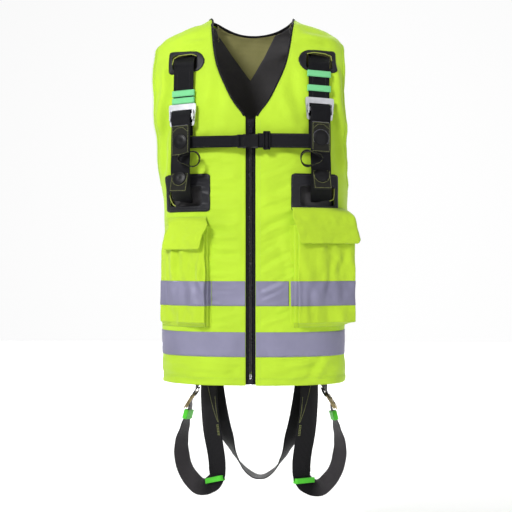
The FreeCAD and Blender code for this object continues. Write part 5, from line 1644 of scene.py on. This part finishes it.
def slanted_stitches(route, shares, us, out):
    """Olive stitches along part of a thigh strap, drifting from one distance across it to another."""
    path, across, face = stations_path(route, 150)
    part = slice(int(shares[0] * 150), int(shares[1] * 150))
    drift = np.linspace(*us, part.stop - part.start)[:, None]
    stitch(path[part] + across[part] * drift + face[part] * 1.05 * out, face[part] * out,
           thread="olive_thread", body="leg_harness", pitch=3.4, radius=0.46)


def make_legs():
    """The strap between the legs, the thigh loops, the hip webbing and the elastic keepers."""
    body = "leg_harness"
    near, far = leg_side(SEAT_ROUTE, 1), list(reversed(leg_side(SEAT_ROUTE, -1)))
    middle = [((LEG_SHIFT, SEAT_MIDDLE[0][1], SEAT_MIDDLE[0][2]), SEAT_MIDDLE[1])]
    webbing("seat_web", near + middle + far, WEB, "seat_web", body, count=150, nodes=("seat_strap",))
    for side, name in SIDES.items():
        thigh = leg_side(THIGH_ROUTE, side)
        webbing(f"thigh_web_{name}", thigh, WEB, "leg_web", body, count=150, nodes=(f"thigh_strap_{name}",))
        hip = webbing(f"hip_web_{name}", leg_side(HIP_ROUTE, side), WEB, "seat_web", body)
        for index, height, depth, slant in THIGH_KEEPERS:
            here, wide = (np.array(v, float) for v in thigh[index])
            up = unit(np.array(thigh[index - 1][0], float) - np.array(thigh[index + 1][0], float))
            wide = unit(wide - up * wide.dot(up))
            face = np.cross(up, wide)
            turn = math.radians(slant[side])
            wide, up = (wide * math.cos(turn) + up * math.sin(turn),
                        up * math.cos(turn) - wide * math.sin(turn))
            band = elastic_band(f"thigh_elastic_{name}_{index}", here, wide, face, up, 25.0, depth, height,
                                "green", body, "green_elastic")
        for out in (-1, 1):
            slanted_stitches(thigh, (0.035, 0.215), (3.0, -19.0), out)
            slanted_stitches(thigh, (0.09, 0.215), (-17.0, -20.0), out)
            for u in (-14.5, -16.5, -18.5):
                slanted_stitches(thigh, (0.215, 0.275), (u, u + 1), out)
    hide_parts("hip_straps")
    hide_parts("thigh_keepers")


# ---------------------------------------------------------------- carried-over parts
CARRIED = {
    "steel": ("adjuster_frame_left", "adjuster_frame_right", "adjuster_bar_left", "adjuster_bar_right",
              "dorsal_ring"),
    "plastic": ("chest_buckle_female", "chest_buckle_male", "chest_adjuster", "dorsal_plate"),
    "zinc": ("hip_buckle_frames", "hip_buckle_plate_left", "hip_buckle_plate_right"),
    "zip": ("zip_slider", "zip_pull", "zip_retainer"),
}
EDGE_ROUNDING = {"steel": 0.7, "plastic": 0.8, "zinc": 0.6, "zip": 0.25}


def finish_carried():
    """Rounded edges and real finishes for the metal and moulded parts."""
    for look, names in CARRIED.items():
        for name in names:
            node = NODES[name]
            node.data.materials.clear()
            node.data.materials.append(LOOKS[look])
            bevel = node.modifiers.new("edges", "BEVEL")
            bevel.width = EDGE_ROUNDING[look] * MM
            bevel.segments = 3
            bevel.limit_method = "ANGLE"
            bevel.angle_limit = math.radians(38)
            bevel.harden_normals = False


# ---------------------------------------------------------------- studio
def look_at_world():
    """Even white surroundings, a little darker in front so that forms keep their shape."""
    world = bpy.data.worlds.new("studio")
    world.use_nodes = True
    tree = world.node_tree
    where = add_node(tree, "ShaderNodeTexCoord").outputs["Generated"]
    depth = add_node(tree, "ShaderNodeSeparateXYZ", i0=where).outputs["Y"]
    behind = add_node(tree, "ShaderNodeMapRange", i0=depth, i1=-1.0, i2=1.0).outputs[0]
    steep = add_node(tree, "ShaderNodeMath", {"operation": "POWER"}, i0=behind, i1=2.3).outputs[0]
    spread = add_node(tree, "ShaderNodeMapRange", i0=steep, i1=0.0, i2=1.0, i3=0.24, i4=1.0).outputs[0]
    tree.links.new(spread, tree.nodes["Background"].inputs["Strength"])
    tree.nodes["Background"].inputs["Color"].default_value = (1.0, 1.0, 1.0, 1.0)
    bpy.context.scene.world = world


def area_light(name, place, target, size, power):
    """A round soft light that points at a target."""
    light = bpy.data.lights.new(name, "AREA")
    light.shape, light.size, light.energy = "DISK", size, power
    made = bpy.data.objects.new(name, light)
    bpy.context.collection.objects.link(made)
    made.location = place
    direction = np.array(target) - np.array(place)
    made.rotation_euler = (math.atan2(math.hypot(direction[0], direction[1]), -direction[2]), 0,
                           math.atan2(direction[1], direction[0]) - math.pi / 2)


FLOOR_Z = -0.45                             # metres
CAMERA_PLACE = (0.1314, -2.417, 0.262)      # metres
CAMERA_TURN = 3                             # degrees


def make_studio():
    """A pale floor, soft light and the camera."""
    look_at_world()
    area_light("key", (-1.5, -2.6, 2.4), (0, 0, 0.35), 0.8, 100.0)
    area_light("fill", (1.9, -2.4, 1.2), (0, 0, 0.25), 2.2, 14.0)
    area_light("rim", (0.6, 2.2, 2.6), (0, 0, 0.4), 1.8, 20.0)
    area_light("floor_wash", (0, 5.4, 2.2), (0, 5.41, FLOOR_Z), 6.0, 260.0)

    bpy.ops.mesh.primitive_plane_add(size=14.0, location=(0, 0, FLOOR_Z))
    floor = bpy.context.object
    floor.name = "floor"
    look = Look("floor", 0.9)
    look.colour(look.ramp(look.noise(1.2, 2.0), 0.3, 0.7, (0.97, 0.97, 0.97, 1), (0.99, 0.99, 0.99, 1)))
    floor.data.materials.append(look.made)

    lens = bpy.data.cameras.new("camera")
    lens.lens, lens.sensor_width = 80.2, 36.0
    camera = bpy.data.objects.new("camera", lens)
    bpy.context.collection.objects.link(camera)
    camera.location = CAMERA_PLACE
    camera.rotation_euler = (math.radians(90), 0, math.radians(CAMERA_TURN))
    bpy.context.scene.camera = camera
    bpy.context.scene.view_settings.view_transform = "Standard"


make_panels()
make_bindings()
make_tapes()
make_patches()
make_lining()
make_inner_webs()
make_zip()
make_pockets()
make_straps()
make_chest_strap()
make_legs()
make_stitching()
finish_carried()
make_studio()
